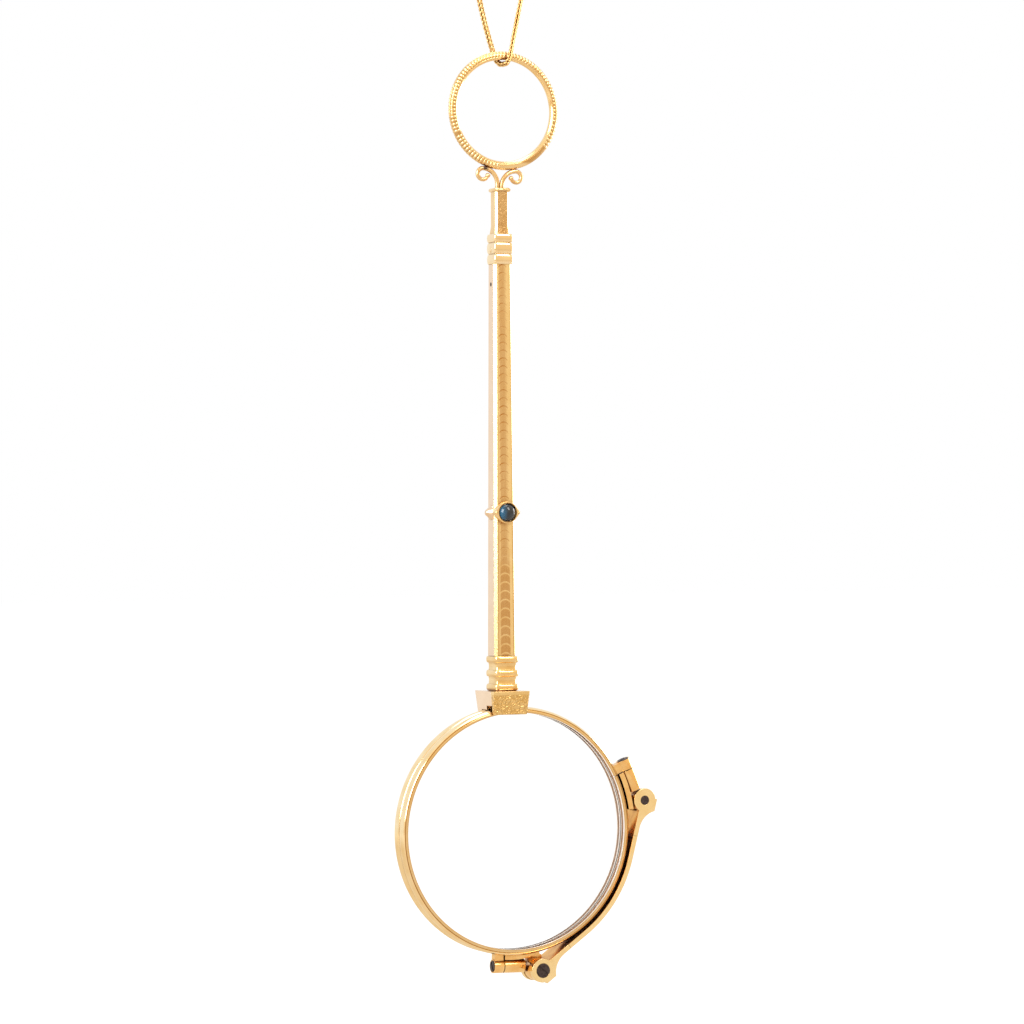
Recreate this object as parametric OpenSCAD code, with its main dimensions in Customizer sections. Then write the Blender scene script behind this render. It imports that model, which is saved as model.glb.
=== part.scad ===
// Folding lorgnette: two round lenses stacked on a slim tapered handle that hangs from a milled ring.
// The front lens swings out on a bridge bow with a hinge at each end. A stone on the handle is the
// push button of the catch. Millimetres, +Z up, front towards -Y, origin at the centre of the ring.

/* [Suspension ring] */
// Outer diameter of the ring
ring_outer_d = 17.7; // [15:0.1:22]
// Diameter of the ring's wire
ring_wire_d = 1.26; // [1:0.02:1.6]
// How far the milled ridge stands out of the wire
ridge_h = 0.06; // [0.03:0.01:0.1]
// Width of the milled ridge
ridge_w = 0.5; // [0.3:0.05:0.7]
// Sideways distance from the handle's axis to the ring's centre
ring_offset = 0.7; // [0:0.1:1.2]

/* [Scrolls] */
// Height from the shaft's capital to the bottom of the ring
scroll_rise = 2.79; // [2.4:0.05:3.2]
// Radius of a scroll's curl, along its middle
curl_r = 0.88; // [0.7:0.02:1.1]
// Sideways distance from the handle's axis to the middle of a curl
curl_x = 2.68; // [2.5:0.02:2.9]
// Thickness of a scroll
scroll_t = 0.68; // [0.5:0.02:0.8]

/* [Finial shaft] */
// Height of the capital on the shaft
capital_h = 0.6; // [0.4:0.05:0.9]
// Width of the capital
capital_w = 2.5; // [2.3:0.05:3]
// Length of the shaft below the capital
shaft_len = 6.31; // [5:0.1:9]
// Width and depth of the shaft
shaft_w = 2.16; // [1.9:0.02:2.4]
// Chamfer on the shaft's corners
shaft_chamfer = 0.28; // [0.15:0.01:0.4]
// Height of the flared foot of the shaft
foot_h = 1.2; // [0.8:0.1:2]

/* [Top collar] */
// Height of the collar
collar_h = 4.55; // [3.6:0.05:6]
// Width and depth of the collar
collar_w = 3.06; // [3:0.02:3.6]
// Diameter of the rivet across the collar
rivet_d = 0.6; // [0.4:0.05:0.8]
// How far each band of the collar bulges
band_bulge = 0.24; // [0.1:0.02:0.3]

/* [Handle tube] */
// Length of the tube
tube_len = 58.65; // [45:0.5:80]
// Width of the tube at its top
tube_top_w = 2.94; // [2.6:0.02:3]
// Depth of the tube at its top
tube_top_d = 2.56; // [2.4:0.02:2.9]
// Width of the tube at its bottom
tube_low_w = 3.64; // [3.4:0.02:4]
// Depth of the tube at its bottom
tube_low_d = 3.1; // [2.9:0.02:3.5]
// Chamfer on the tube's corners
tube_chamfer = 0.4; // [0.3:0.02:0.5]
// Width of the channel inside the tube
channel_w = 1.3; // [1.1:0.05:1.5]
// Depth of the channel inside the tube
channel_d = 1.9; // [1.8:0.02:2]

/* [Neck] */
// Height of the neck
neck_h = 5.25; // [4.5:0.05:6.5]
// Width and depth of the neck's rings
neck_ring_w = 4.15; // [4.05:0.05:4.6]
// Height of one ring of the neck
neck_ring_h = 1.08; // [0.9:0.02:1.3]

/* [Catch block] */
// Height of the block
block_h = 3.5; // [3.3:0.05:4.5]
// Width of the block at its top
block_top_w = 5.9; // [5.6:0.05:6.6]
// Depth of the block at its top
block_top_d = 7.08; // [6.8:0.05:7.6]
// Width of the block at its bottom
block_low_w = 5.43; // [5:0.05:5.6]
// Depth of the block at its bottom
block_low_d = 5.8; // [5.7:0.05:6.4]
// Thickness of the engraved front wall, at its bottom edge
face_t = 0.45; // [0.35:0.05:0.6]
// How deep the rims sit in the block
rim_seat = 1.15; // [1:0.05:1.3]

/* [Rims and lenses] */
// Outer diameter of a rim
rim_outer_d = 37.3; // [34:0.1:42]
// Width of a rim's band
rim_band = 0.95; // [0.9:0.01:1.1]
// Depth of a rim from front to back
rim_depth = 1.75; // [1.6:0.05:1.9]
// How far a rim's outside bulges
rim_bulge = 0.35; // [0.2:0.01:0.4]
// Gap between the two folded rims
rim_gap = 0.25; // [0.2:0.01:0.35]
// Sideways distance from the handle's axis to the middle of the rims
rim_offset = 1.37; // [1:0.05:1.6]
// Distance of the rims' middle plane in front of the handle's axis
stack_forward = 0.425; // [0.3:0.025:0.5]
// Thickness of a rim's lip in front of and behind its lens
lip_t = 0.24; // [0.18:0.01:0.3]
// Depth of the groove that holds a lens
groove_h = 0.35; // [0.25:0.01:0.4]
// Thickness of a lens in its middle
lens_mid_t = 1.62; // [1.3:0.02:1.7]
// Thickness of a lens at its edge
lens_edge_t = 1.2; // [0.9:0.02:1.25]
// Width of the saw cut where a rim opens for its lens
split_w = 0.12; // [0.08:0.01:0.16]

/* [Closing joints] */
// Diameter of a closing joint's barrel
barrel_d = 2.1; // [1.9:0.02:2.2]
// Length of a closing joint's barrel
barrel_len = 5; // [4.6:0.1:5.2]
// Length of the barrel's outer knuckle
outer_knuckle_len = 1.6; // [1.4:0.1:2]
// Diameter of a closing screw's head
closing_head_d = 1.7; // [1.4:0.02:1.76]
// Diameter of a closing screw's shank
closing_shank_d = 0.9; // [0.7:0.02:1]

/* [Bridge and hinges] */
// Angle between the two hinge pins, seen from the middle of the rims
hinge_spread = 90; // [86:1:92]
// Angle of the line of symmetry below the horizontal
fold_tilt = 34.4; // [30:0.2:38]
// Thickness of the bow's strip
bow_t = 0.75; // [0.6:0.05:0.8]
// Width of the bow's strip from front to back
bow_w = 4.3; // [4.2:0.05:4.8]
// Half the angle of the bow's round stretch
bow_arc = 20; // [16:0.5:22]
// Diameter of a hinge eye
eye_d = 3.6; // [3.4:0.05:3.8]
// Thickness of a hinge eye
eye_t = 0.85; // [0.7:0.01:0.95]
// Distance from a hinge pin to the seam between its fork and the strip
seam_at = 5.6; // [5:0.1:7]
// Diameter of a hinge screw's shank
pivot_d = 1.35; // [1.2:0.01:1.5]
// Diameter of a hinge screw's head
pivot_head_d = 2.1; // [1.9:0.02:2.3]
// Thickness of a hinge screw's head
pivot_head_t = 0.5; // [0.4:0.02:0.6]

/* [Push button and catch] */
// Distance of the button below the top of the tube
button_drop = 37.2; // [30:0.1:42]
// Diameter of the stone
stone_d = 2.6; // [2.4:0.02:2.8]
// Height of the stone's dome
stone_h = 0.8; // [0.6:0.02:1]
// Inner diameter of the button's bezel
bezel_bore_d = 2.94; // [2.86:0.02:3.1]
// Wall of the bezel
bezel_wall = 0.16; // [0.12:0.02:0.22]
// How far the bezel stands out of the tube
bezel_h = 0.95; // [0.9:0.05:1.3]
// How far the button is pushed in
button_travel = 0.3; // [0.2:0.02:0.34]
// Diameter of the button's stem
stem_d = 1; // [0.8:0.02:1.1]
// Distance of the lever's pin below the top of the tube
lever_pin_drop = 3; // [2.5:0.1:6]
// Diameter of the lever's pin
lever_pin_d = 0.6; // [0.5:0.02:0.66]
// Thickness of the lever
lever_t = 0.4; // [0.34:0.02:0.44]
// Width of the lever
lever_w = 0.7; // [0.6:0.02:0.8]
// Distance of the leaf spring's tip below the lever's pin
leaf_drop = 4; // [3:0.5:6]
// Height of the leaf spring
leaf_len = 14; // [10:0.5:18]

/* [Hidden] */
$fn = 64;
RING_FINE = 160;
solder_gap = 0.01;
run_gap = 0.05;
slot_clear = 0.15;
through = 20;

// Heights, from the ring's centre down
ring_mid_r = (ring_outer_d - ring_wire_d) / 2;
capital_top = -ring_outer_d / 2 - scroll_rise;
shaft_top = capital_top - capital_h;
collar_top = shaft_top - shaft_len;
tube_top = collar_top - collar_h;
tube_low = tube_top - tube_len;
block_top = tube_low - neck_h;
block_low = block_top - block_h;

// Rims: their centre, radii and the middle planes of the front rim
rim_r = rim_outer_d / 2;
rim_inner_r = rim_r - rim_band;
groove_r = rim_inner_r + groove_h;
rim_top = block_low + rim_seat;
rim_z = rim_top - rim_r;
rim_x = rim_offset - ring_offset;
front_mid = -(rim_gap + rim_depth) / 2;
front_face = front_mid - rim_depth / 2;
face_plane = face_t - block_low_d / 2;
slot_back = -stack_forward - rim_gap / 2 + 0.1;

// Slot ceiling: it climbs to the right because the front rim rises as it swings out
slot_rise = 1;
slot_slope = 0.3;

// Hinges, in the frame whose X axis is the line of symmetry
pin_angle = hinge_spread / 2;
lug_t = 0.78;
hinge_r = rim_r + lug_t + eye_d / 2 + 0.17;
joint_r = rim_r + 0.7 + barrel_d / 2;
joint_angle = pin_angle + atan(((barrel_len + eye_d) / 2 + 0.25) / hinge_r);
knuckle_d = eye_d - 0.2;
knuckle_half = bow_w / 2 - eye_t - run_gap;
bow_mid_r = rim_r + 0.15 + bow_t / 2;
bow_turn = pin_angle - bow_arc;
bow_shift = bow_mid_r - hinge_r * cos(bow_turn);
bow_run = hinge_r * sin(bow_turn);
split_at = barrel_len / 2 - outer_knuckle_len;
web_half = 1.1;
spring_turns = 2.25;
spring_t = 0.14;
spring_w = 0.7;
spring_room = spring_w + 0.2;
spring_room_d = knuckle_d - 0.8;
pivot_sunk = 0.35;
closing_sunk = 0.5;
closing_deep = -0.8;
stop_back = 0.6;

// Catch
button_z = tube_top - button_drop;
lever_z = tube_top - lever_pin_drop;
lever_front = -0.15;
lever_mid = lever_front + lever_t / 2;
nose_z = rim_top - 0.1;
nose_h = 0.5;
nose_tip = slot_back;
tube_share = button_drop / tube_len;
tube_face = (tube_top_d + (tube_low_d - tube_top_d) * tube_share) / 2;
tube_side = (tube_top_w + (tube_low_w - tube_top_w) * tube_share) / 2;
cup_d = stone_d + 0.12;
cup_front = -tube_face - bezel_h + 0.1;
stone_sunk = 0.25;
cup_back = -tube_face - button_travel - 0.07;

// Chain: the middle of its tube from the left end, round behind the ring's wire and out in front
chain_d = 0.9;
chain_sides = 8;
chain_route = [[-4.4, 1.1, 21.4], [-3.9, 1.1, 19.2], [-3.4, 1.1, 17], [-2.9, 1.1, 14.8],
    [-2.3, 1.15, 12.6], [-1.6, 1.2, 10.4], [-1.1, 1.22, 8.9], [-0.7, 1.14, 7.75], [-0.3, 0.66, 7.1],
    [0, 0, 7], [0.3, -0.66, 7.1], [0.6, -1.14, 7.75], [0.8, -1.22, 8.9], [1.1, -1.2, 10.4],
    [1.6, -1.15, 12.6], [2.1, -1.1, 14.8], [2.6, -1.1, 17], [3.1, -1.1, 19.2], [3.6, -1.1, 21.4]];
end_ring_r = 0.9;
end_wire_d = 0.36;

GOLD = [0.86, 0.66, 0.34];
STEEL = [0.25, 0.24, 0.26];
GLASS = [0.88, 0.9, 0.92, 0.5];
SAPPHIRE = [0.1, 0.16, 0.28];

// Moves a piece drawn about the handle's axis to the handle
module on_handle(z = 0) {
    translate([-ring_offset, 0, z]) children();
}

// Extrudes an outline drawn as width by height into a slab that runs along Y
module along_y(length) {
    rotate([90, 0, 0]) linear_extrude(length, center = true) children();
}

// Extrudes an outline drawn as depth by height into a slab that runs along X
module along_x(length) {
    rotate([0, 0, 90]) along_y(length) children();
}

// Outline of a bar that widens from low_w to top_w over height h
module taper_outline(low_w, top_w, h) {
    polygon([[-low_w / 2, 0], [low_w / 2, 0], [top_w / 2, h], [-top_w / 2, h]]);
}

// Four-sided bar that tapers both ways, with flat chamfers on its corners; it stands on z = 0
module tapered_bar(low_w, low_d, top_w, top_d, h, chamfer = 0) {
    low_across = (low_w + low_d - 2 * chamfer) / sqrt(2);
    top_across = (top_w + top_d - 2 * chamfer) / sqrt(2);
    intersection() {
        along_y(through) taper_outline(low_w, top_w, h);
        along_x(through) taper_outline(low_d, top_d, h);
        if (chamfer > 0) rotate([0, 0, 45]) along_y(through) taper_outline(low_across, top_across, h);
        if (chamfer > 0) rotate([0, 0, -45]) along_y(through) taper_outline(low_across, top_across, h);
    }
}

// Outline of a band that bulges at both ends
module band_outline(w, h, bulge) {
    round_r = (h * h / 4 + bulge * bulge) / (2 * bulge);
    intersection() {
        square([w, h], center = true);
        union() {
            square([w - 2 * bulge, h], center = true);
            translate([w / 2 - round_r, 0]) circle(round_r);
            translate([round_r - w / 2, 0]) circle(round_r);
        }
    }
}

// Square moulding with mitred corners, from one band outline run along both directions
module moulding(w, h, bulge) {
    intersection() {
        along_y(through) band_outline(w, h, bulge);
        along_x(through) band_outline(w, h, bulge);
    }
}

// Ring of wire with a milled ridge to the front and to the back of its outside
module suspension_ring() {
    sunk = 0.1;
    color(GOLD) rotate([90, 0, 0]) rotate_extrude($fn = RING_FINE) translate([ring_mid_r, 0]) {
        circle(d = ring_wire_d, $fn = 32);
        for (turn = [65, -65])
            rotate(turn) translate([ring_wire_d / 2 - sunk, -ridge_w / 2]) square([sunk + ridge_h, ridge_w]);
    }
}

// Arched strip of a scroll about a centre, cut to the part of the plane that its child outline keeps
module strip(centre, r) {
    translate(centre) intersection() {
        difference() {
            circle(r + scroll_t / 2);
            circle(r - scroll_t / 2);
        }
        children();
    }
}

// C-scroll that climbs from the capital, touches the ring and curls in; side is 1 right or -1 left
module scroll(side) {
    stem_r = curl_x - scroll_t / 2 - solder_gap;
    reach = ring_outer_d / 2 + stem_r + scroll_t / 2 + solder_gap;
    stem_z = -sqrt(reach * reach - pow(side * curl_x - ring_offset, 2));
    curl_z = stem_z + stem_r - curl_r;
    tip = 30;
    color(GOLD) on_handle() mirror([side < 0 ? 1 : 0, 0, 0]) slab(-scroll_t / 2, scroll_t / 2) {
        translate([solder_gap, capital_top]) square([scroll_t, stem_z - capital_top]);
        for (joint = [[curl_x - stem_r, stem_z], [curl_x, curl_z + curl_r]])
            translate(joint) square(scroll_t / 3, center = true);
        strip([curl_x, stem_z], stem_r) translate([-through, 0]) square(through);
        strip([curl_x, curl_z], curl_r)
            polygon([[0, through], [0, 0], [-through * cos(tip), -through * sin(tip)], [0, -through],
                [through, -through], [through, through]]);
        translate([curl_x - curl_r * cos(tip), curl_z - curl_r * sin(tip)]) circle(scroll_t / 2 + 0.06);
    }
}

module scroll_left() {
    scroll(-1);
}

module scroll_right() {
    scroll(1);
}

// Chamfered square shaft with a moulded capital and a flared foot
module finial_shaft() {
    flare = 0.16;
    color(GOLD) {
        on_handle(shaft_top + capital_h / 2) moulding(capital_w, capital_h, capital_h / 3);
        on_handle(collar_top) tapered_bar(shaft_w, shaft_w, shaft_w, shaft_w, shaft_len, shaft_chamfer);
        on_handle(collar_top)
            tapered_bar(shaft_w + 2 * flare, shaft_w + 2 * flare, shaft_w, shaft_w, foot_h, shaft_chamfer);
    }
}

// Collar of three bulging bands, cross-drilled for its rivet
module top_collar() {
    shares = [0.34, 0.38, 0.28];
    groove = 0.06;
    sink = 0.2;
    color(GOLD) on_handle(tube_top) difference() {
        intersection() {
            union() {
                tapered_bar(collar_w - 2 * sink, collar_w - 2 * sink, collar_w - 2 * sink,
                    collar_w - 2 * sink, collar_h);
                for (i = [0:2]) {
                    low = i == 0 ? 0 : i == 1 ? shares[0] : shares[0] + shares[1];
                    translate([0, 0, (low + shares[i] / 2) * collar_h])
                        moulding(collar_w, shares[i] * collar_h - groove, band_bulge);
                }
            }
            tapered_bar(collar_w, collar_w, collar_w, collar_w, collar_h, 0.2);
        }
        translate([0, 0, collar_h / 2]) rotate([0, 90, 0])
            cylinder(h = through, d = rivet_d + 2 * solder_gap, center = true);
    }
}

// Rivet across the collar with a domed head on each side
module collar_rivet() {
    head_d = 1.1;
    dome = 0.22;
    dome_r = (head_d * head_d / 4 + dome * dome) / (2 * dome);
    color(GOLD) on_handle(tube_top + collar_h / 2) rotate([0, 90, 0]) {
        cylinder(h = collar_w + dome, d = rivet_d, center = true);
        for (side = [0, 1])
            mirror([0, 0, side]) translate([0, 0, collar_w / 2 + solder_gap]) intersection() {
                translate([0, 0, dome - dome_r]) sphere(dome_r);
                cylinder(h = dome, d = head_d);
            }
    }
}

// The tube's outer form
module tube_form() {
    on_handle(tube_low)
        tapered_bar(tube_low_w, tube_low_d, tube_top_w, tube_top_d, tube_len, tube_chamfer);
}

// Channel for the catch lever, from the top of the tube down to the block
module lever_channel(low, high) {
    translate([-ring_offset - channel_w / 2, -channel_d / 2, low]) cube([channel_w, channel_d, high - low]);
}

// Tapered square tube with chamfered corners, open at both ends
module handle_tube() {
    color(GOLD) difference() {
        tube_form();
        lever_channel(tube_low - 1, tube_top + 1);
        on_handle(button_z) rotate([90, 0, 0]) cylinder(h = through, d = stem_d + 2 * run_gap);
        on_handle(lever_z) translate([0, lever_mid, 0]) rotate([0, 90, 0])
            cylinder(h = through, d = lever_pin_d + 2 * solder_gap, center = true);
    }
}

// Setting of the button: a round bezel with a point to each side, a band round the tube and two bosses
module gem_setting() {
    bezel_d = bezel_bore_d + 2 * bezel_wall;
    point = 2.05;
    point_h = bezel_h / 2;
    band_h = 0.7;
    band_out = 0.12;
    boss_d = 2.2;
    boss_tip_d = 0.8;
    boss_h = 0.6;
    color(GOLD) difference() {
        union() {
            on_handle(button_z) rotate([90, 0, 0]) cylinder(h = tube_face + bezel_h, d = bezel_d);
            on_handle(button_z) rotate([90, 0, 0]) linear_extrude(tube_face + point_h) {
                rotate(45) square(point * sqrt(2), center = true);
            }
            on_handle(button_z) cube([2 * (tube_side + band_out), 2 * (tube_face + band_out), band_h], center = true);
            for (side = [-90, 90])
                on_handle(button_z) rotate([0, side, 0]) {
                    cylinder(h = tube_side + boss_h, d = boss_tip_d);
                    translate([0, 0, tube_side - 0.1]) cylinder(h = boss_h, d1 = boss_d, d2 = boss_tip_d);
                    translate([0, 0, tube_side + boss_h]) sphere(d = boss_tip_d);
                }
        }
        tube_form();
        on_handle(button_z) translate([0, -tube_face + 1, 0]) rotate([90, 0, 0])
            cylinder(h = through, d = bezel_bore_d);
    }
}

// Neck under the tube: a core and three ring mouldings of square plan
module neck_mouldings() {
    step = (neck_h - neck_ring_h) / 2;
    color(GOLD) difference() {
        on_handle(block_top) {
            tapered_bar(tube_low_w, tube_low_d, tube_low_w, tube_low_d, neck_h, tube_chamfer);
            intersection() {
                union() for (i = [0:2])
                    translate([0, 0, neck_ring_h / 2 + i * step])
                        moulding(neck_ring_w, neck_ring_h, 0.38 * neck_ring_h);
                tapered_bar(neck_ring_w, neck_ring_w, neck_ring_w, neck_ring_w, neck_h, 0.45);
            }
        }
        lever_channel(block_top - 1, tube_low + 1);
    }
}

// The catch block's outer form, wider at its top
module block_form() {
    on_handle(block_low) tapered_bar(block_low_w, block_low_d, block_top_w, block_top_d, block_h);
}

// Everything in front of the plane y = at
module in_front(at) {
    translate([-through, at - through, -7 * through]) cube([2 * through, through, 7 * through]);
}

// Block with a slot for the front rim, a seat for the rear rim and the lever's channel
module catch_block() {
    reach = block_top_w;
    color(GOLD) difference() {
        block_form();
        in_front(face_plane);
        rim_seat_cut(rim_r + slot_clear, -through, slot_back);
        rim_seat_cut(rim_r + solder_gap, slot_back - 1, -stack_forward - front_face + solder_gap);
        translate([-ring_offset, (slot_back - through) / 2, rim_top]) along_y(slot_back + through)
            polygon([[-reach, -reach], [reach, -reach], [reach, slot_rise + reach * slot_slope],
                [-reach, slot_rise - reach * slot_slope]]);
        lever_channel(rim_top - slot_clear - nose_h, block_top + 1);
    }
}

// Cuts a disc about the rims' middle between two depths
module rim_seat_cut(r, from, to) {
    translate([rim_x, to, rim_z]) rotate([90, 0, 0]) cylinder(h = to - from, r = r, $fn = RING_FINE);
}

// Engraved front wall that closes the slot
module catch_face() {
    color(GOLD) intersection() {
        block_form();
        in_front(face_plane - solder_gap);
    }
}

// Frame of the hinges: X runs along the line of symmetry, Z rises towards the upper pin
module hinge_frame(second = false) {
    translate([rim_x, -stack_forward, rim_z]) rotate([0, fold_tilt, 0])
        rotate([second ? 180 : 0, 0, 0]) children();
}

// Turns X to point outwards at an angle, with Z along the rim
module facing(angle, r = 0) {
    rotate([0, -angle, 0]) translate([r, 0, 0]) children();
}

// Slab between two depths, from an outline drawn as seen from the front
module slab(front, back) {
    translate([0, back, 0]) rotate([90, 0, 0]) linear_extrude(back - front) children();
}

// Plain pin or bore along Y between two depths
module pin_y(front, back, d) {
    translate([0, back, 0]) rotate([90, 0, 0]) cylinder(h = back - front, d = d);
}

// Outline of a rim's section with its outside bulging, from radius low outwards
module rim_outline(low, grow) {
    round_r = (rim_depth * rim_depth / 4 + rim_bulge * rim_bulge) / (2 * rim_bulge);
    intersection() {
        translate([low, -rim_depth / 2]) square([rim_r + grow - low, rim_depth]);
        translate([rim_r - round_r, 0]) circle(round_r + grow);
    }
}

// The space a front rim fills, seen by the pieces soldered to it
module rim_space() {
    translate([0, front_mid, 0]) rotate([90, 0, 0]) rotate_extrude($fn = RING_FINE)
        rim_outline(rim_r - 2, solder_gap);
}

// Front rim with lips, lens groove and the saw cut beside its closing joint
module rim_ring() {
    difference() {
        translate([0, front_mid, 0]) rotate([90, 0, 0]) rotate_extrude($fn = RING_FINE) difference() {
            rim_outline(rim_inner_r, 0);
            translate([rim_inner_r - 1, lip_t - rim_depth / 2])
                square([1 + groove_h, rim_depth - 2 * lip_t]);
        }
        facing(joint_angle, rim_r) translate([-2 * rim_band, -through, split_at - split_w / 2])
            cube([4 * rim_band, 2 * through, split_w]);
    }
}

// Box cut over the handle's axis, between two depths and above a height
module notch(half, front, back, low) {
    translate([-ring_offset - half, front, low]) cube([2 * half, back - front, 2]);
}

module rear_rim() {
    swing = (lever_z - nose_z) / (lever_z - button_z) * button_travel;
    color(GOLD) difference() {
        hinge_frame(true) rim_ring();
        notch(lever_w / 2 + slot_clear, -stack_forward, lever_front + lever_t + swing + slot_clear,
            nose_z - nose_h / 2 - slot_clear);
    }
}

module front_rim() {
    depth = 0.4;
    face = -stack_forward - rim_gap / 2;
    color(GOLD) difference() {
        hinge_frame() rim_ring();
        notch(lever_w / 2 + slot_clear, face - depth, face + solder_gap, nose_z - nose_h / 2 - slot_clear);
    }
}

// Thin lens with both faces bulging
module lens() {
    r = groove_r - run_gap;
    steps = 4;
    edge = lens_edge_t / 2;
    rise = (lens_mid_t - lens_edge_t) / 2;
    face = [for (i = [0:steps]) [r * i / steps, edge + rise * (1 - pow(i / steps, 2))]];
    color(GLASS) translate([0, front_mid, 0]) rotate([90, 0, 0]) rotate_extrude($fn = RING_FINE)
        polygon(concat(face, [for (i = [steps:-1:0]) [face[i][0], -face[i][1]]]));
}

module rear_lens() {
    hinge_frame(true) lens();
}

module front_lens() {
    hinge_frame() lens();
}

// Barrel of the closing joint between two distances along it
module barrel(from, to, d) {
    facing(joint_angle, joint_r) translate([0, front_mid, from]) cylinder(h = to - from, d = d);
}

// Outer knuckle of the closing joint on its foot
module closing_knuckle() {
    foot_half = 0.6;
    start = split_at + split_w / 2;
    color(GOLD) difference() {
        union() {
            barrel(start, barrel_len / 2, barrel_d);
            facing(joint_angle) translate([rim_r - 0.6, front_mid - foot_half, start])
                cube([joint_r - rim_r + 0.6, 2 * foot_half, barrel_len / 2 - start - 0.1]);
        }
        rim_space();
        barrel(0, through, closing_shank_d + 2 * solder_gap);
        barrel(barrel_len / 2 - closing_sunk, through, closing_head_d + 2 * solder_gap);
    }
}

module rear_closing_knuckle() {
    hinge_frame(true) closing_knuckle();
}

module front_closing_knuckle() {
    hinge_frame() closing_knuckle();
}

// Slotted screw that closes the rim
module closing_screw() {
    proud = 0.06;
    slot = 0.28;
    color(STEEL) difference() {
        union() {
            barrel(closing_deep, (barrel_len - closing_sunk) / 2, closing_shank_d);
            barrel(barrel_len / 2 - closing_sunk + solder_gap, barrel_len / 2 + proud, closing_head_d);
        }
        facing(joint_angle, joint_r) translate([0, front_mid, barrel_len / 2 + proud]) rotate([0, 0, 35])
            cube([through, slot, 2 * slot], center = true);
    }
}

module rear_closing_screw() {
    hinge_frame(true) closing_screw();
}

module front_closing_screw() {
    hinge_frame() closing_screw();
}

// Lug soldered on the rim: curved plate, inner knuckle of the closing joint and the hinge's drum
module pivot_lug() {
    plate_from = pin_angle - 2.6;
    eye_clear = eye_d / 2 + slot_clear;
    color(GOLD) difference() {
        union() {
            arc_bar(rim_r + solder_gap, lug_t, plate_from, joint_angle + 4, front_face, -rim_gap / 2);
            difference() {
                barrel(-barrel_len / 2, split_at, barrel_d);
                facing(pin_angle, hinge_r) pin_y(-through, through, 2 * eye_clear);
            }
            facing(pin_angle) translate([rim_r + lug_t - 0.12, -knuckle_half, -web_half])
                cube([hinge_r - rim_r - lug_t, knuckle_half - rim_gap / 2, 2 * web_half]);
            facing(pin_angle, hinge_r) pin_y(-knuckle_half, knuckle_half, knuckle_d);
        }
        facing(pin_angle, hinge_r) pin_y(-through, through, pivot_d + 2 * run_gap);
        facing(pin_angle, hinge_r) pin_y(-spring_room / 2, spring_room / 2, spring_room_d);
        facing(joint_angle, rim_r) translate([-rim_band, -through, split_at - split_w / 2])
            cube([rim_band + 2 * barrel_d, 2 * through, barrel_len]);
        barrel(closing_deep - 0.1, through, closing_shank_d + 2 * solder_gap);
    }
}

module rear_pivot_lug() {
    hinge_frame(true) pivot_lug();
}

module front_pivot_lug() {
    hinge_frame() pivot_lug();
}

// Curved bar about the rims' middle, from an inner radius outwards
module arc_bar(r, t, from, to, front, back) {
    translate([0, back, 0]) rotate([90, 0, 0]) rotate([0, 0, from])
        rotate_extrude(angle = to - from, $fn = RING_FINE) translate([r, 0]) square([t, back - front]);
}

// Bow of flat strip: a round stretch with a straight tangent at each end
module bridge_bow() {
    straight = bow_run - seam_at;
    reach = 2 * bow_mid_r;
    color(GOLD) hinge_frame() slab(-bow_w / 2, bow_w / 2) {
        intersection() {
            difference() {
                circle(bow_mid_r + bow_t / 2, $fn = RING_FINE);
                circle(bow_mid_r - bow_t / 2, $fn = RING_FINE);
            }
            polygon([[0, 0], [reach * cos(bow_arc), -reach * sin(bow_arc)],
                [reach * cos(bow_arc), reach * sin(bow_arc)]]);
        }
        for (side = [0, 1])
            mirror([0, side]) rotate(bow_arc) translate([bow_mid_r, 0]) {
                translate([-bow_t / 2, 0]) square([bow_t, straight]);
                square(bow_t - 0.06, center = true);
            }
    }
}

// Outline of a fork about its pin, with the bow's strip running off along +X and the outside up
module fork_outline() {
    stop = eye_d / 2 + 0.2;
    fillet_x = 0.75 * seam_at;
    outside = bow_shift + bow_t / 2;
    fillet_r = 3.27;
    circle(d = eye_d);
    translate([0, bow_shift - bow_t / 2]) square([seam_at - solder_gap, bow_t]);
    difference() {
        translate([-stop_back, 0]) square([fillet_x + stop_back, stop]);
        translate([fillet_x, outside + fillet_r]) circle(fillet_r);
    }
}

// Fork that carries a hinge: two eyes on the end of the strip
module fork() {
    clear_r = knuckle_d / 2 + 0.2;
    inside = knuckle_half + run_gap;
    color(GOLD) difference() {
        on_pin() slab(-bow_w / 2, bow_w / 2) fork_outline();
        on_pin() slab(-inside, inside) {
            circle(clear_r);
            translate([-through, -through]) square([through + 1.2, 2 * through]);
        }
        facing(pin_angle, hinge_r) pin_y(-through, through, pivot_d + 2 * solder_gap);
        facing(pin_angle, hinge_r)
            pin_y(bow_w / 2 - pivot_sunk, through, pivot_head_d + 2 * solder_gap);
    }
}

// Moves an outline drawn about a pin, with the strip along +X, onto the upper pin
module on_pin() {
    facing(pin_angle, hinge_r) rotate([0, bow_turn + 90, 0]) children();
}

module upper_fork() {
    hinge_frame() fork();
}

module lower_fork() {
    hinge_frame(true) fork();
}

// Slotted hinge screw, its head sunk in the fork's rear eye and its tip flush in the front one
module hinge_screw() {
    slot = 0.34;
    head_from = bow_w / 2 - pivot_sunk + solder_gap;
    color(STEEL) difference() {
        facing(pin_angle, hinge_r) {
            pin_y(-bow_w / 2 - 0.04, head_from + pivot_head_t / 3, pivot_d);
            pin_y(head_from, head_from + pivot_head_t, pivot_head_d);
        }
        facing(pin_angle, hinge_r) translate([0, head_from + pivot_head_t, 0]) rotate([0, 40, 0])
            cube([through, pivot_head_t, slot], center = true);
    }
}

module upper_hinge_screw() {
    hinge_frame() hinge_screw();
}

module lower_hinge_screw() {
    hinge_frame(true) hinge_screw();
}

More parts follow.
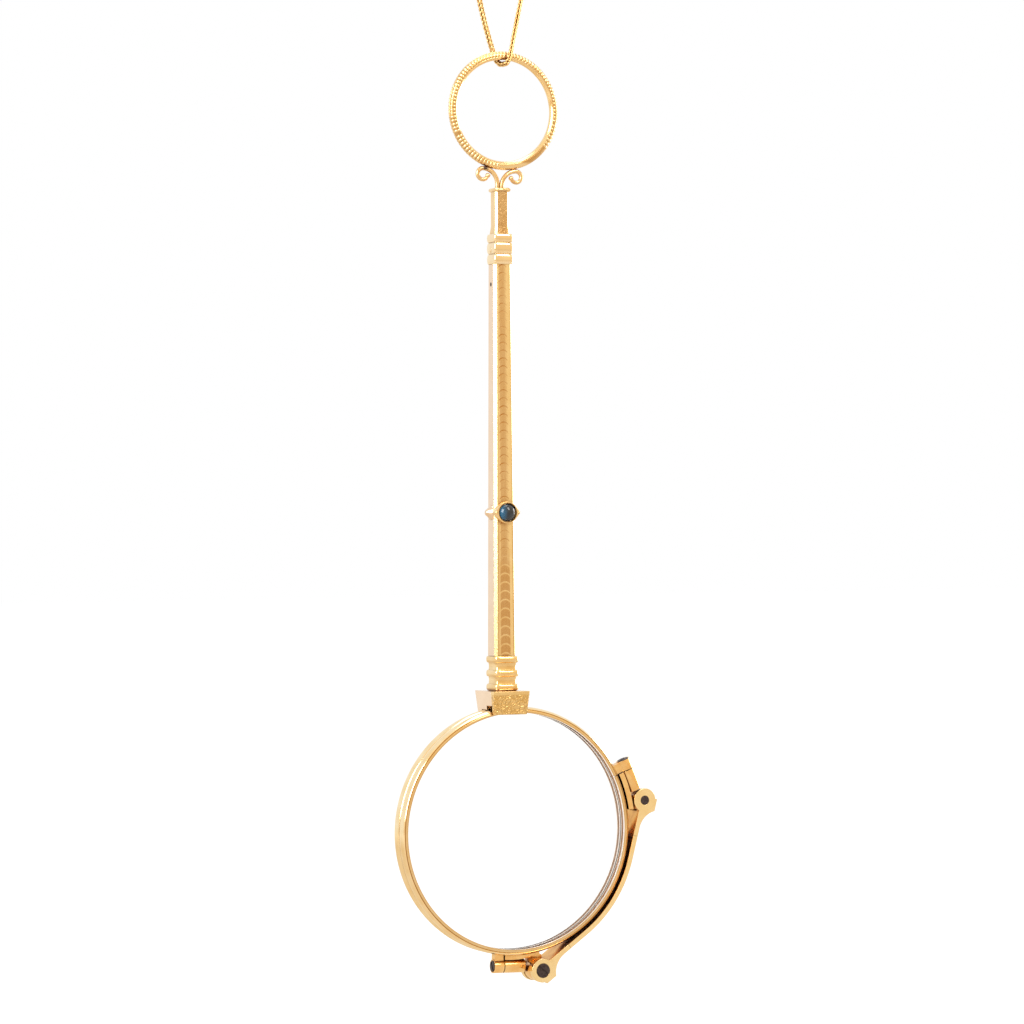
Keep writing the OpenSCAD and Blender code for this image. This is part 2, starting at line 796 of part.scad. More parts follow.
// Flat spiral spring in the hinge's drum
module hinge_spring() {
    start = pivot_d / 2 + run_gap;
    end = spring_room_d / 2 - run_gap - spring_t;
    steps = 54;
    inner = [for (i = [0:steps]) let (r = start + (end - start) * i / steps, a = 360 * spring_turns * i / steps)
        [r * cos(a), r * sin(a)]];
    outer = [for (i = [steps:-1:0]) let (r = start + spring_t + (end - start) * i / steps,
        a = 360 * spring_turns * i / steps) [r * cos(a), r * sin(a)]];
    color(STEEL) facing(pin_angle, hinge_r) slab(-spring_w / 2, spring_w / 2) polygon(concat(inner, outer));
}

module upper_hinge_spring() {
    hinge_frame() hinge_spring();
}

module lower_hinge_spring() {
    hinge_frame(true) hinge_spring();
}

// Cup that holds the stone, with the stem that pushes the lever
module button_cup() {
    color(GOLD) on_handle(button_z) difference() {
        union() {
            pin_y(cup_front, cup_back, cup_d);
            pin_y(cup_back - 0.05, lever_front - run_gap, stem_d);
        }
        pin_y(cup_front - 1, cup_front + stone_sunk, stone_d + 2 * solder_gap);
    }
}

// Domed stone on a short girdle
module cabochon() {
    girdle = 0.2;
    base = cup_front + stone_sunk - solder_gap;
    dome_r = (stone_d * stone_d / 4 + stone_h * stone_h) / (2 * stone_h);
    color(SAPPHIRE) on_handle(button_z) {
        pin_y(base - girdle, base, stone_d);
        intersection() {
            translate([0, base - girdle - stone_h + dome_r, 0]) sphere(dome_r);
            pin_y(base - girdle - stone_h, base - girdle, stone_d);
        }
    }
}

// Lever in the tube: an eye at its top and a hook at its foot
module latch_lever() {
    eye = 1.2;
    above = 1.1;
    low = nose_z - nose_h / 2;
    color(STEEL) difference() {
        on_handle() {
            translate([-lever_w / 2, lever_front, low]) cube([lever_w, lever_t, lever_z + above - low]);
            translate([-lever_w / 2, nose_tip, low]) cube([lever_w, lever_front + lever_t - nose_tip, nose_h]);
            translate([0, lever_mid, lever_z]) rotate([0, 90, 0])
                cylinder(h = lever_w, d = eye, center = true);
        }
        on_handle() translate([0, lever_mid, lever_z]) rotate([0, 90, 0])
            cylinder(h = through, d = lever_pin_d + 2 * run_gap, center = true);
    }
}

// Pin across the tube that the lever turns on
module lever_pin() {
    across = tube_top_w + (tube_low_w - tube_top_w) * lever_pin_drop / tube_len;
    color(STEEL) on_handle(lever_z) translate([0, lever_mid, 0]) rotate([0, 90, 0])
        cylinder(h = across - 0.06, d = lever_pin_d, center = true);
}

// Leaf spring on the channel's rear wall that keeps the hook forward
module latch_spring() {
    wall = channel_d / 2 - solder_gap;
    leaf_t = 0.12;
    tip = lever_front + lever_t + 0.08;
    top = lever_z - leaf_drop;
    foot = top - leaf_len;
    pad = 2 * lever_w;
    color(STEEL) on_handle() along_x(lever_w)
        polygon([[wall, foot - pad], [wall, foot], [tip + leaf_t, top], [tip, top],
            [wall - 2 * leaf_t, foot], [wall - 2 * leaf_t, foot - pad]]);
}

// Ring of the tube round one point of the chain's route
function chain_ring(i) =
    let (last = len(chain_route) - 1,
        along = chain_route[min(i + 1, last)] - chain_route[max(i - 1, 0)],
        ahead = along / norm(along),
        side = cross(ahead, [0, 1, 0]) / norm(cross(ahead, [0, 1, 0])),
        up = cross(side, ahead))
    [for (k = [0:chain_sides - 1]) let (a = 360 * k / chain_sides)
        chain_route[i] + chain_d / 2 * (cos(a) * side + sin(a) * up)];

// Chain that hangs through the ring, as one smooth cord
module chain() {
    count = len(chain_route);
    points = [for (i = [0:count - 1]) each chain_ring(i)];
    walls = [for (i = [0:count - 2], k = [0:chain_sides - 1]) let (
        a = i * chain_sides + k, b = i * chain_sides + (k + 1) % chain_sides)
        [a, b, b + chain_sides, a + chain_sides]];
    first = [for (k = [chain_sides - 1:-1:0]) k];
    last = [for (k = [0:chain_sides - 1]) (count - 1) * chain_sides + k];
    color(GOLD) polyhedron(points, concat([first], walls, [last]));
}

// Small ring at each end of the chain
module chain_ends() {
    color(GOLD) for (end = [chain_route[0], chain_route[len(chain_route) - 1]])
        translate(end + [0, 0, end_ring_r + end_wire_d / 2 + solder_gap]) rotate([90, 0, 0])
            rotate_extrude() translate([end_ring_r, 0]) circle(d = end_wire_d, $fn = 24);
}

suspension_ring();
scroll_left();
scroll_right();
finial_shaft();
top_collar();
collar_rivet();
handle_tube();
gem_setting();
neck_mouldings();
catch_block();
catch_face();
rear_rim();
rear_lens();
rear_closing_knuckle();
rear_closing_screw();
rear_pivot_lug();
front_rim();
front_lens();
front_closing_knuckle();
front_closing_screw();
front_pivot_lug();
bridge_bow();
upper_fork();
lower_fork();
upper_hinge_screw();
lower_hinge_screw();
upper_hinge_spring();
lower_hinge_spring();
button_cup();
cabochon();
latch_lever();
lever_pin();
latch_spring();
chain();
chain_ends();
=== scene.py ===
# Folding lorgnette in gold, hanging from a fine chain: two round lenses folded one behind the other,
# a slim engraved handle, a sapphire push button, a sprung bridge at the right and a milled ring on top.
import math

import bmesh
import bpy
from mathutils import Matrix, Vector


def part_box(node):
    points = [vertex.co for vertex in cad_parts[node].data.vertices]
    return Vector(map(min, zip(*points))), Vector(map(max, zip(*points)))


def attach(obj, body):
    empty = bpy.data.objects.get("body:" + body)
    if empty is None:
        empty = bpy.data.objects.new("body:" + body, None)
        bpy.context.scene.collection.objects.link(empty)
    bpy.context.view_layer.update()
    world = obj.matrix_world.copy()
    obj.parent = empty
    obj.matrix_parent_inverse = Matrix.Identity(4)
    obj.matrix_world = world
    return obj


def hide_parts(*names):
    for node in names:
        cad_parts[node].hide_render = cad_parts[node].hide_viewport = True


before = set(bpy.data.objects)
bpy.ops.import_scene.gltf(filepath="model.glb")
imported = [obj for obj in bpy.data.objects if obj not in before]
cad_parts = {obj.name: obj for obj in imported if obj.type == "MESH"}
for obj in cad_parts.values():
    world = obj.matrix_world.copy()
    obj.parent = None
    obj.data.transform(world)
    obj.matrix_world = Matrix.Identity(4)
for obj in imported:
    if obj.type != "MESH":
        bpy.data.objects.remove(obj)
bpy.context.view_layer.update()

# Studio: a pale floor under the hanging piece, white paper behind it and a warmer room in front, so
# that polished gold shows pale on its sides and warm on its face. Four soft boxes give the highlights.
turn, roll = math.radians(-24), math.radians(-0.33)
camera_distance = 0.6
aim = Vector((0.00076, -0.00065, -0.06022))
camera_data = bpy.data.cameras.new("camera")
camera_data.sensor_width = 36
camera_data.lens = 140.6
camera = bpy.data.objects.new("camera", camera_data)
bpy.context.collection.objects.link(camera)
camera_back = Vector((math.sin(turn), -math.cos(turn), 0))
camera.location = aim + camera_distance * camera_back
camera.rotation_mode = "QUATERNION"
camera.rotation_quaternion = (camera_back.to_track_quat("Z", "Y")
    @ Matrix.Rotation(roll, 3, "Z").to_quaternion())
camera_data.clip_start, camera_data.clip_end = 0.01, 20
bpy.context.scene.camera = camera
bpy.context.scene.view_settings.view_transform = "Standard"


def put(tree, kind, inputs=None, **settings):
    """A node with its settings, its inputs linked or set, in a shader or geometry tree."""
    node = tree.nodes.new(kind)
    for key, value in settings.items():
        setattr(node, key, value)
    for key, value in (inputs or {}).items():
        if isinstance(value, bpy.types.Node):
            value = value.outputs[0]
        if isinstance(value, bpy.types.NodeSocket):
            tree.links.new(value, node.inputs[key])
        else:
            node.inputs[key].default_value = value
    return node


def blend_colour(tree, share, first, second):
    """Colour that goes from first to second as share goes from 0 to 1."""
    return put(tree, "ShaderNodeMix", {0: share, 6: first, 7: second}, data_type="RGBA").outputs[2]


def shape_value(tree, value, low, high, to_low=0.0, to_high=1.0):
    """Value mapped from one range to another and held inside it."""
    return put(tree, "ShaderNodeMapRange", {0: value, 1: low, 2: high, 3: to_low, 4: to_high}).outputs[0]


def work(tree, operation, *values):
    """One step of arithmetic on sockets or numbers."""
    return put(tree, "ShaderNodeMath", dict(enumerate(values)), operation=operation).outputs[0]


world = bpy.data.worlds.new("studio")
bpy.context.scene.world = world
world.use_nodes = True
room = world.node_tree
room.nodes.clear()
heading = put(room, "ShaderNodeSeparateXYZ", {0: put(room, "ShaderNodeTexCoord").outputs["Generated"]})
behind = shape_value(room, heading.outputs["Y"], -0.45, 0.15)
above = shape_value(room, heading.outputs["Z"], -0.6, 0.8, 0.66, 1.0)
front_tone = work(room, "MULTIPLY", above, 1.18)
tone = work(room, "ADD", front_tone, work(room, "MULTIPLY", behind, work(room, "SUBTRACT", 1.0, front_tone)))
warm_front, paper_white = (1, 0.8, 0.52, 1), (1, 0.985, 0.96, 1)
paths = put(room, "ShaderNodeLightPath")
mirrored = put(room, "ShaderNodeBackground", {0: blend_colour(room, behind, warm_front, paper_white), 1: tone})
soft = put(room, "ShaderNodeBackground", {0: (1, 1, 1, 1), 1: 0.55})
paper = put(room, "ShaderNodeBackground", {0: (1, 1, 1, 1), 1: 1.0})
seen = work(room, "MAXIMUM", paths.outputs["Is Camera Ray"], paths.outputs["Is Transmission Ray"])
lit = put(room, "ShaderNodeMixShader", {0: paths.outputs["Is Glossy Ray"], 1: soft, 2: mirrored})
put(room, "ShaderNodeOutputWorld", {0: put(room, "ShaderNodeMixShader", {0: seen, 1: lit, 2: paper})})

piece_middle = Vector((0, 0, -0.07))
for name, place, size, power in [
    ("key box", (0.2, -0.5, 0.46), 0.26, 1.9),
    ("left box", (-0.62, -0.3, 0.2), 0.3, 3.4),
    ("right box", (0.66, 0.16, -0.02), 0.3, 2.6),
    ("top box", (0.05, 0.1, 0.75), 0.4, 2.4),
]:
    lamp = bpy.data.lights.new(name, "AREA")
    lamp.shape, lamp.size, lamp.size_y = "RECTANGLE", size, size * 1.6
    lamp.energy = power
    lamp_object = bpy.data.objects.new(name, lamp)
    lamp_object.location = place
    lamp_object.rotation_euler = (piece_middle - Vector(place)).to_track_quat("-Z", "Y").to_euler()
    bpy.context.collection.objects.link(lamp_object)

floor_z, floor_half = -0.165, 4
floor_mesh = bpy.data.meshes.new("floor")
floor_mesh.from_pydata([(floor_half * x, floor_half * y, floor_z) for x, y in ((-1, -1), (1, -1), (1, 1), (-1, 1))],
    [], [(0, 1, 2, 3)])
floor = bpy.data.objects.new("floor", floor_mesh)
bpy.context.collection.objects.link(floor)
floor_paper = bpy.data.materials.new("floor paper")
floor_paper.use_nodes = True
ground = floor_paper.node_tree
ground.nodes.clear()
paths = put(ground, "ShaderNodeLightPath")
seen = work(ground, "MAXIMUM", paths.outputs["Is Camera Ray"], paths.outputs["Is Transmission Ray"])
matt = put(ground, "ShaderNodeBsdfDiffuse", {0: (0.9, 0.9, 0.9, 1)})
here = put(ground, "ShaderNodeTexCoord").outputs["Object"]
near = put(ground, "ShaderNodeVectorMath", {0: here}, operation="LENGTH").outputs["Value"]
depth = put(ground, "ShaderNodeSeparateXYZ", {0: here}).outputs["Y"]
far_tone = blend_colour(ground, shape_value(ground, depth, -0.4, 0.2), (1.0, 0.76, 0.46, 1), (1.2, 1.15, 1.05, 1))
mirrored = blend_colour(ground, shape_value(ground, near, 0.3, 0.7), (0.78, 0.6, 0.36, 1), far_tone)
shown = blend_colour(ground, seen, mirrored, (1.24, 1.24, 1.24, 1))
plain_share = work(ground, "MULTIPLY", work(ground, "MAXIMUM", seen, paths.outputs["Is Glossy Ray"]), 0.7)
plain_tone = put(ground, "ShaderNodeEmission", {0: shown, 1: 1.0})
put(ground, "ShaderNodeOutputMaterial", {0: put(ground, "ShaderNodeMixShader",
    {0: plain_share, 1: matt, 2: plain_tone})})
floor_mesh.materials.append(floor_paper)

# Chain: fine links of gold wire, each turned a quarter from the last, hung over the ring's wire with
# one run behind and one in front. A jump ring closes each end, above the part that shows.
chain_route = [(-4.4, 1.1, 21.4), (-3.9, 1.1, 19.2), (-3.4, 1.1, 17), (-2.9, 1.1, 14.8), (-2.3, 1.15, 12.6),
    (-1.6, 1.2, 10.4), (-1.1, 1.22, 8.9), (-0.7, 1.14, 7.75), (-0.3, 0.66, 7.1), (0, 0, 7), (0.3, -0.66, 7.1),
    (0.6, -1.14, 7.75), (0.8, -1.22, 8.9), (1.1, -1.2, 10.4), (1.6, -1.15, 12.6), (2.1, -1.1, 14.8),
    (2.6, -1.1, 17), (3.1, -1.1, 19.2), (3.6, -1.1, 21.4)]
chain_route = [tuple(0.001 * v for v in point) for point in chain_route]


def gold(name, colour, deep, roughness, grain=0.000004, corner_shade=0.75, pattern=None):
    """Gold alloy: warm and pale clouds, fine handling marks, and painted shade in the corners where ambient occlusion
    finds them closed in.
    pattern may add (share, colour, depth) of its own from the tree and its object coordinates."""
    shade_colour = (0.2, 0.055, 0.008, 1)
    material = bpy.data.materials.new(name)
    material.use_nodes = True
    tree = material.node_tree
    tree.nodes.clear()
    place = put(tree, "ShaderNodeTexCoord").outputs["Object"]
    cloud = put(tree, "ShaderNodeTexNoise", {"Vector": place, "Scale": 420.0, "Detail": 3.0})
    base = blend_colour(tree, shape_value(tree, cloud.outputs[0], 0.35, 0.7), colour, deep)
    marks = put(tree, "ShaderNodeTexNoise", {"Vector": place, "Scale": 5200.0, "Detail": 4.0, "Roughness": 0.6})
    rubbed = put(tree, "ShaderNodeTexNoise", {"Vector": put(tree, "ShaderNodeMapping", {0: place, 3: (9, 9, 1)},
        vector_type="POINT"), "Scale": 900.0, "Detail": 2.0})
    height = work(tree, "ADD", marks.outputs[0], work(tree, "MULTIPLY", rubbed.outputs[0], 0.6))
    rough = shape_value(tree, marks.outputs[0], 0.3, 0.7, roughness * 0.75, roughness * 1.3)
    if pattern:
        share, cut_colour, depth = pattern(tree, place)
        base = blend_colour(tree, share, base, cut_colour)
        height = work(tree, "ADD", height, work(tree, "MULTIPLY", depth, -6.0))
        rough = work(tree, "ADD", rough, work(tree, "MULTIPLY", share, 0.12))
    # Painted shade: the base turns dark brown where ambient occlusion finds corners and crevices closed in.
    corner = put(tree, "ShaderNodeAmbientOcclusion", {1: 0.0009}, samples=6)
    base = blend_colour(tree, shape_value(tree, corner.outputs["AO"], 0.25, 0.85, corner_shade, 0.0), base, shade_colour)
    bump = put(tree, "ShaderNodeBump", {"Strength": 0.6, "Distance": grain, "Height": height})
    put(tree, "ShaderNodeOutputMaterial", {0: put(tree, "ShaderNodeBsdfPrincipled", {"Base Color": base,
        "Roughness": rough, "Normal": bump, "Metallic": 1.0})})
    return material


def piece(name, mesh, material, body, slot, *nodes, smooth=0):
    """The finished mesh as a piece that rides on its body and stands for its CAD nodes."""
    thing = bpy.data.objects.new(name, mesh)
    bpy.context.collection.objects.link(thing)
    mesh.materials.clear()
    mesh.materials.append(material)
    if smooth:
        mesh.shade_smooth()
        mesh.set_sharp_from_angle(angle=math.radians(smooth))
    if nodes:
        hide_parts(*nodes)
    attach(thing, body)
    return thing


def grown(carrier, tree, values, name):
    """Runs a geometry tree on a carrier object with its named inputs set, and gives the plain mesh."""
    bpy.context.collection.objects.link(carrier)
    step = carrier.modifiers.new(name, "NODES")
    step.node_group = tree
    for socket in tree.interface.items_tree:
        if socket.item_type == "SOCKET" and socket.in_out == "INPUT" and socket.name in values:
            step[socket.identifier] = values[socket.name]
    view_layer = bpy.context.evaluated_depsgraph_get()
    mesh = bpy.data.meshes.new_from_object(carrier.evaluated_get(view_layer))
    mesh.name = name
    bpy.data.objects.remove(carrier)
    return mesh


def new_tree(name, **inputs):
    """Geometry tree with a geometry input and output and named number or material inputs."""
    tree = bpy.data.node_groups.new(name, "GeometryNodeTree")
    tree.interface.new_socket("Geometry", in_out="OUTPUT", socket_type="NodeSocketGeometry")
    tree.interface.new_socket("Geometry", in_out="INPUT", socket_type="NodeSocketGeometry")
    for key, kind in inputs.items():
        tree.interface.new_socket(key.replace("_", " "), in_out="INPUT", socket_type="NodeSocket" + kind)
    return tree, tree.nodes.new("NodeGroupInput").outputs, tree.nodes.new("NodeGroupOutput").inputs


def route_curve(name, points):
    """Open line through the points, as a carrier for a geometry tree."""
    data = bpy.data.curves.new(name, "CURVE")
    data.dimensions = "3D"
    spline = data.splines.new("POLY")
    spline.points.add(len(points) - 1)
    for spot, point in zip(spline.points, points):
        spot.co = (*point, 1)
    return bpy.data.objects.new(name, data)


chain_gold = gold("chain gold", (0.93, 0.68, 0.33, 1), (0.8, 0.52, 0.2, 1), 0.22, corner_shade=0.85)
links, given, out = new_tree("chain links", Pitch="Float", Link_width="Float", Wire="Float", Metal="Material")
spaced = put(links, "GeometryNodeResampleCurve", {"Curve": given["Geometry"], "Length": given["Pitch"]}, mode="LENGTH")
oval = put(links, "GeometryNodeTransform", {"Geometry": put(links, "GeometryNodeCurvePrimitiveCircle",
    {"Resolution": 14, "Radius": given["Link width"]}), "Scale": (0.6, 1.0, 1.0)})
stood = put(links, "GeometryNodeTransform", {"Geometry": oval, "Rotation": (math.pi / 2, 0, 0)})
wire_loop = put(links, "GeometryNodeCurveToMesh", {"Curve": stood,
    "Profile Curve": put(links, "GeometryNodeCurvePrimitiveCircle", {"Resolution": 7, "Radius": given["Wire"]})})
along = put(links, "FunctionNodeAlignRotationToVector", {"Vector": put(links, "GeometryNodeInputTangent")}, axis="Z")
linked = put(links, "GeometryNodeInstanceOnPoints", {"Points": spaced, "Instance": wire_loop, "Rotation": along})
quarter_turn, first_turn = 1.5708, 0.35
turned_by = put(links, "ShaderNodeCombineXYZ", {2: work(links, "ADD", work(links, "MULTIPLY",
    put(links, "GeometryNodeInputIndex"), quarter_turn), first_turn)})
rolled = put(links, "GeometryNodeRotateInstances", {"Instances": linked, "Rotation": turned_by})
plain = put(links, "GeometryNodeRealizeInstances", {0: rolled})
coated = put(links, "GeometryNodeSetMaterial", {"Geometry": plain, "Material": given["Metal"]})
links.links.new(coated.outputs[0], out[0])
chain_mesh = grown(route_curve("chain carrier", chain_route), links,
    {"Pitch": 0.00035, "Link width": 0.0005, "Wire": 0.00014, "Metal": chain_gold}, "chain links")
chain = piece("chain", chain_mesh, chain_gold, "handle", "gold", "chain", smooth=80)

jump_mesh = bpy.data.meshes.new("jump rings")
jump = bmesh.new()
rounds, sides = 48, 12
jump_radius, jump_wire, jump_lift = 0.0009, 0.00018, 0.00109
for end in (chain_route[0], chain_route[-1]):
    middle = Vector(end) + Vector((0, 0, jump_lift))
    loops = []
    for i in range(rounds):
        a = 2 * math.pi * i / rounds
        out_way = Vector((math.cos(a), 0, math.sin(a)))
        loops.append([jump.verts.new(middle + out_way * jump_radius
            + jump_wire * (math.cos(b) * out_way + math.sin(b) * Vector((0, 1, 0))))
            for b in (2 * math.pi * k / sides for k in range(sides))])
    for near, far in zip(loops, loops[1:] + loops[:1]):
        for k in range(sides):
            jump.faces.new([near[k], near[(k + 1) % sides], far[(k + 1) % sides], far[k]])
bmesh.ops.recalc_face_normals(jump, faces=jump.faces)
jump.to_mesh(jump_mesh)
jump.free()
jump_rings = piece("jump_rings", jump_mesh, chain_gold, "handle", "gold", "chain_ends", smooth=80)

# Suspension ring: drawn round wire bent to a hoop, with a band of short milled bars between two fine
# ridges on the front and on the back. The foot is left plain, where the ring is soldered on.
ring_radius = 0.00822
ring_wire = 0.00063
ring_gold = gold("ring gold", (0.95, 0.74, 0.43, 1), (0.87, 0.61, 0.29, 1), 0.17)


def shade_between_bars(tree, place):
    """Painted shade between the bars, in the two milled bands but not at the plain foot."""
    spot = put(tree, "ShaderNodeSeparateXYZ", {0: place})
    off = work(tree, "ABSOLUTE", spot.outputs["Y"])
    across = put(tree, "ShaderNodeCombineXYZ", {0: spot.outputs["X"], 1: spot.outputs["Z"]})
    reach = put(tree, "ShaderNodeVectorMath", {0: across}, operation="LENGTH").outputs["Value"]
    band = work(tree, "MULTIPLY", shape_value(tree, off, 0.0001, 0.00016),
        shape_value(tree, reach, ring_radius - 0.0002, ring_radius - 0.00014))
    foot = shape_value(tree, spot.outputs["Z"], -0.0079, -0.0076)
    share = work(tree, "MULTIPLY", work(tree, "MULTIPLY", band, foot), 0.65)
    return share, (0.5, 0.24, 0.05, 1), share


# The hoop's gold takes painted shade between the milled bars.
hoop_gold = gold("hoop gold", (0.95, 0.74, 0.43, 1), (0.87, 0.61, 0.29, 1), 0.15, pattern=shade_between_bars)


def lathe(name, outline, seat, steps, start=0.0, stop=360.0):
    """Turns a closed outline of (radius, height) points about the seat's Z axis, whole or part way."""
    whole = abs(stop - start) >= 360
    turned = bmesh.new()
    rows = []
    for i in range(steps if whole else steps + 1):
        a = math.radians(start + (stop - start) * i / steps)
        rows.append([turned.verts.new(seat @ Vector((r * math.cos(a), r * math.sin(a), h))) for r, h in outline])
    for i in range(steps):
        near, far = rows[i], rows[(i + 1) % len(rows)]
        for k in range(len(outline)):
            turned.faces.new([near[k], near[(k + 1) % len(outline)], far[(k + 1) % len(outline)], far[k]])
    if not whole:
        turned.faces.new(rows[0])
        turned.faces.new(rows[-1])
    bmesh.ops.remove_doubles(turned, verts=turned.verts, dist=1e-8)
    bmesh.ops.recalc_face_normals(turned, faces=turned.faces)
    mesh = bpy.data.meshes.new(name)
    turned.to_mesh(mesh)
    turned.free()
    return mesh


ring_outline = []
ridge_width, ridge_low, ridge_rise = 4.5, 0.00002, 0.00007
for k in range(120):
    b = 2 * math.pi * k / 120
    ridge = max(math.exp(-((math.degrees(b) - side) / ridge_width) ** 4) for side in (8, 112, 248, 352))
    r = ring_wire - ridge_low + ridge_rise * ridge
    ring_outline.append((ring_radius + r * math.cos(b), r * math.sin(b)))
face_on = Matrix.Rotation(math.radians(90), 4, "X")
piece("suspension_ring", lathe("suspension ring", ring_outline, face_on, 256), hoop_gold, "handle", "gold",
    "suspension_ring", smooth=80)

bars, given, out = new_tree("ring milling", Bar_pitch="Float", Bar_size="Float", Wire="Float", First_angle="Float",
    Metal="Material")
bar_reach, bar_flatness = math.radians(94), 1.55
spaced = put(bars, "GeometryNodeResampleCurve", {"Curve": given["Geometry"], "Length": given["Bar pitch"]},
    mode="LENGTH")
arc = put(bars, "GeometryNodeCurveArc", {"Resolution": 14, "Radius": given["Wire"],
    "Start Angle": given["First angle"], "Sweep Angle": bar_reach})
bar_section = put(bars, "GeometryNodeCurvePrimitiveCircle", {"Resolution": 8, "Radius": given["Bar size"]})
bar = put(bars, "GeometryNodeCurveToMesh", {"Curve": arc, "Profile Curve": bar_section, "Fill Caps": True})
across_wire = put(bars, "GeometryNodeTransform", {"Geometry": bar, "Rotation": (math.radians(90), 0, 0),
    "Scale": (1, 1, bar_flatness)})
along = put(bars, "FunctionNodeAlignRotationToVector", {"Vector": put(bars, "GeometryNodeInputTangent")}, axis="Y")
facing = put(bars, "FunctionNodeAlignRotationToVector", {"Rotation": along,
    "Vector": put(bars, "GeometryNodeInputPosition")}, axis="Z")
facing.pivot_axis = "Y"
strewn = put(bars, "GeometryNodeInstanceOnPoints", {"Points": spaced, "Instance": across_wire, "Rotation": facing})
plain = put(bars, "GeometryNodeRealizeInstances", {0: strewn})
coated = put(bars, "GeometryNodeSetMaterial", {"Geometry": put(bars, "GeometryNodeSetShadeSmooth", {0: plain}),
    "Material": given["Metal"]})
bars.links.new(coated.outputs[0], out[0])
milled_runs = ((-38, -14), (-9, 203), (209, 262))
bar_sink = 0.00005
for first_angle, name in ((103, "ring_milling_front"), (-17, "ring_milling_back")):
    for part, (first, last) in enumerate(milled_runs):
        path = [(ring_radius * math.cos(math.radians(a)), 0, ring_radius * math.sin(math.radians(a)))
            for a in [first + (last - first) * i / 120 for i in range(121)]]
        bar_mesh = grown(route_curve("bar carrier", path), bars, {"Bar pitch": 0.00052, "Bar size": 0.000125,
            "Wire": ring_wire - bar_sink, "First angle": math.radians(first_angle), "Metal": ring_gold}, name)
        piece("%s_%d" % (name, part), bar_mesh, ring_gold, "handle", "gold", smooth=60)

# Scrolls: two C-scrolls of forged wire soldered back to back on the shaft, each touching the ring and
# curling in to a small knob. Old solder has left dark spots where the left one meets the ring.
handle_x = -0.7  # the middle of the handle, in mm, a little left of the middle of the ring


def rod(name, path, radii):
    """Round rod along a path in the plane of the ring, with a radius at each point."""
    sides, about = 20, Vector((0, 1, 0))
    swept = bmesh.new()
    rows = []
    count = len(path)
    for i, point in enumerate(path):
        ahead = (path[min(i + 1, count - 1)] - path[max(i - 1, 0)]).normalized()
        across = ahead.cross(about).normalized()
        rows.append([swept.verts.new(point + radii[i] * (math.cos(b) * across + math.sin(b) * about))
            for b in (2 * math.pi * k / sides for k in range(sides))])
    for near, far in zip(rows, rows[1:]):
        for k in range(sides):
            swept.faces.new([near[k], near[(k + 1) % sides], far[(k + 1) % sides], far[k]])
    swept.faces.new(rows[0])
    swept.faces.new(rows[-1])
    bmesh.ops.recalc_face_normals(swept, faces=swept.faces)
    mesh = bpy.data.meshes.new(name)
    swept.to_mesh(mesh)
    swept.free()
    return mesh


def solder_stain(tree, place):
    """Dark oxide beside the left contact with the ring, with fine twist lines all over."""
    solder_spot = (-0.0031, -0.0002, -0.00835)
    away = put(tree, "ShaderNodeVectorMath", {0: place, 1: solder_spot}, operation="DISTANCE").outputs["Value"]
    rag = put(tree, "ShaderNodeTexNoise", {"Vector": place, "Scale": 3000.0}).outputs[0]
    stain = shape_value(tree, work(tree, "ADD", away, work(tree, "MULTIPLY", rag, 0.0006)), 0.0007, 0.00105, 0.95, 0.0)
    fine = put(tree, "ShaderNodeTexWave", {"Vector": place, "Scale": 700.0, "Distortion": 4.0}).outputs[1]
    return stain, (0.03, 0.022, 0.03, 1), work(tree, "MULTIPLY", fine, 0.15)


scroll_gold = gold("scroll gold", (0.92, 0.69, 0.4, 1), (0.74, 0.49, 0.24, 1), 0.25, 0.000012, pattern=solder_stain)
ring_outer, shaft_top, wire_r, solder_gap = 8.85, -11.62, 0.34, 0.01
stem_r, curl_r, curl_x = 2.33, 0.88, 2.68
knob = [(0.0, 1.0), (0.12, 1.25), (0.24, 1.33), (0.36, 1.25), (0.46, 1.0), (0.53, 0.6), (0.56, 0.12)]
for side, name in ((-1, "scroll_left"), (1, "scroll_right")):
    reach = ring_outer + stem_r + wire_r + solder_gap
    stem_z = -math.sqrt(reach * reach - (side * curl_x + handle_x) ** 2)
    curl_z = stem_z + stem_r - curl_r
    line = [(wire_r, shaft_top + (stem_z - shaft_top) * i / 4) for i in range(5)]
    line += [(curl_x + stem_r * math.cos(math.radians(a)), stem_z + stem_r * math.sin(math.radians(a)))
        for a in range(176, 90, -5)]
    for a in range(90, -156, -6):
        r = curl_r * (1 - 0.12 * max(0, -a) / 150)
        line.append((curl_x + r * math.cos(math.radians(a)), curl_z + r * math.sin(math.radians(a))))
    path = [Vector((side * x + handle_x, 0, z)) * 0.001 for x, z in line]
    count = len(path)
    radii = [0.001 * wire_r * (1.05 - 0.2 * (i / count)) for i in range(count)]
    tip = path[-1] - path[-2]
    radii += [radii[-1] * k for _, k in knob]
    path += [path[count - 1] + tip.normalized() * 0.001 * d for d, _ in knob]
    piece(name, rod(name, path, radii), scroll_gold, "handle", "gold", name, smooth=70)
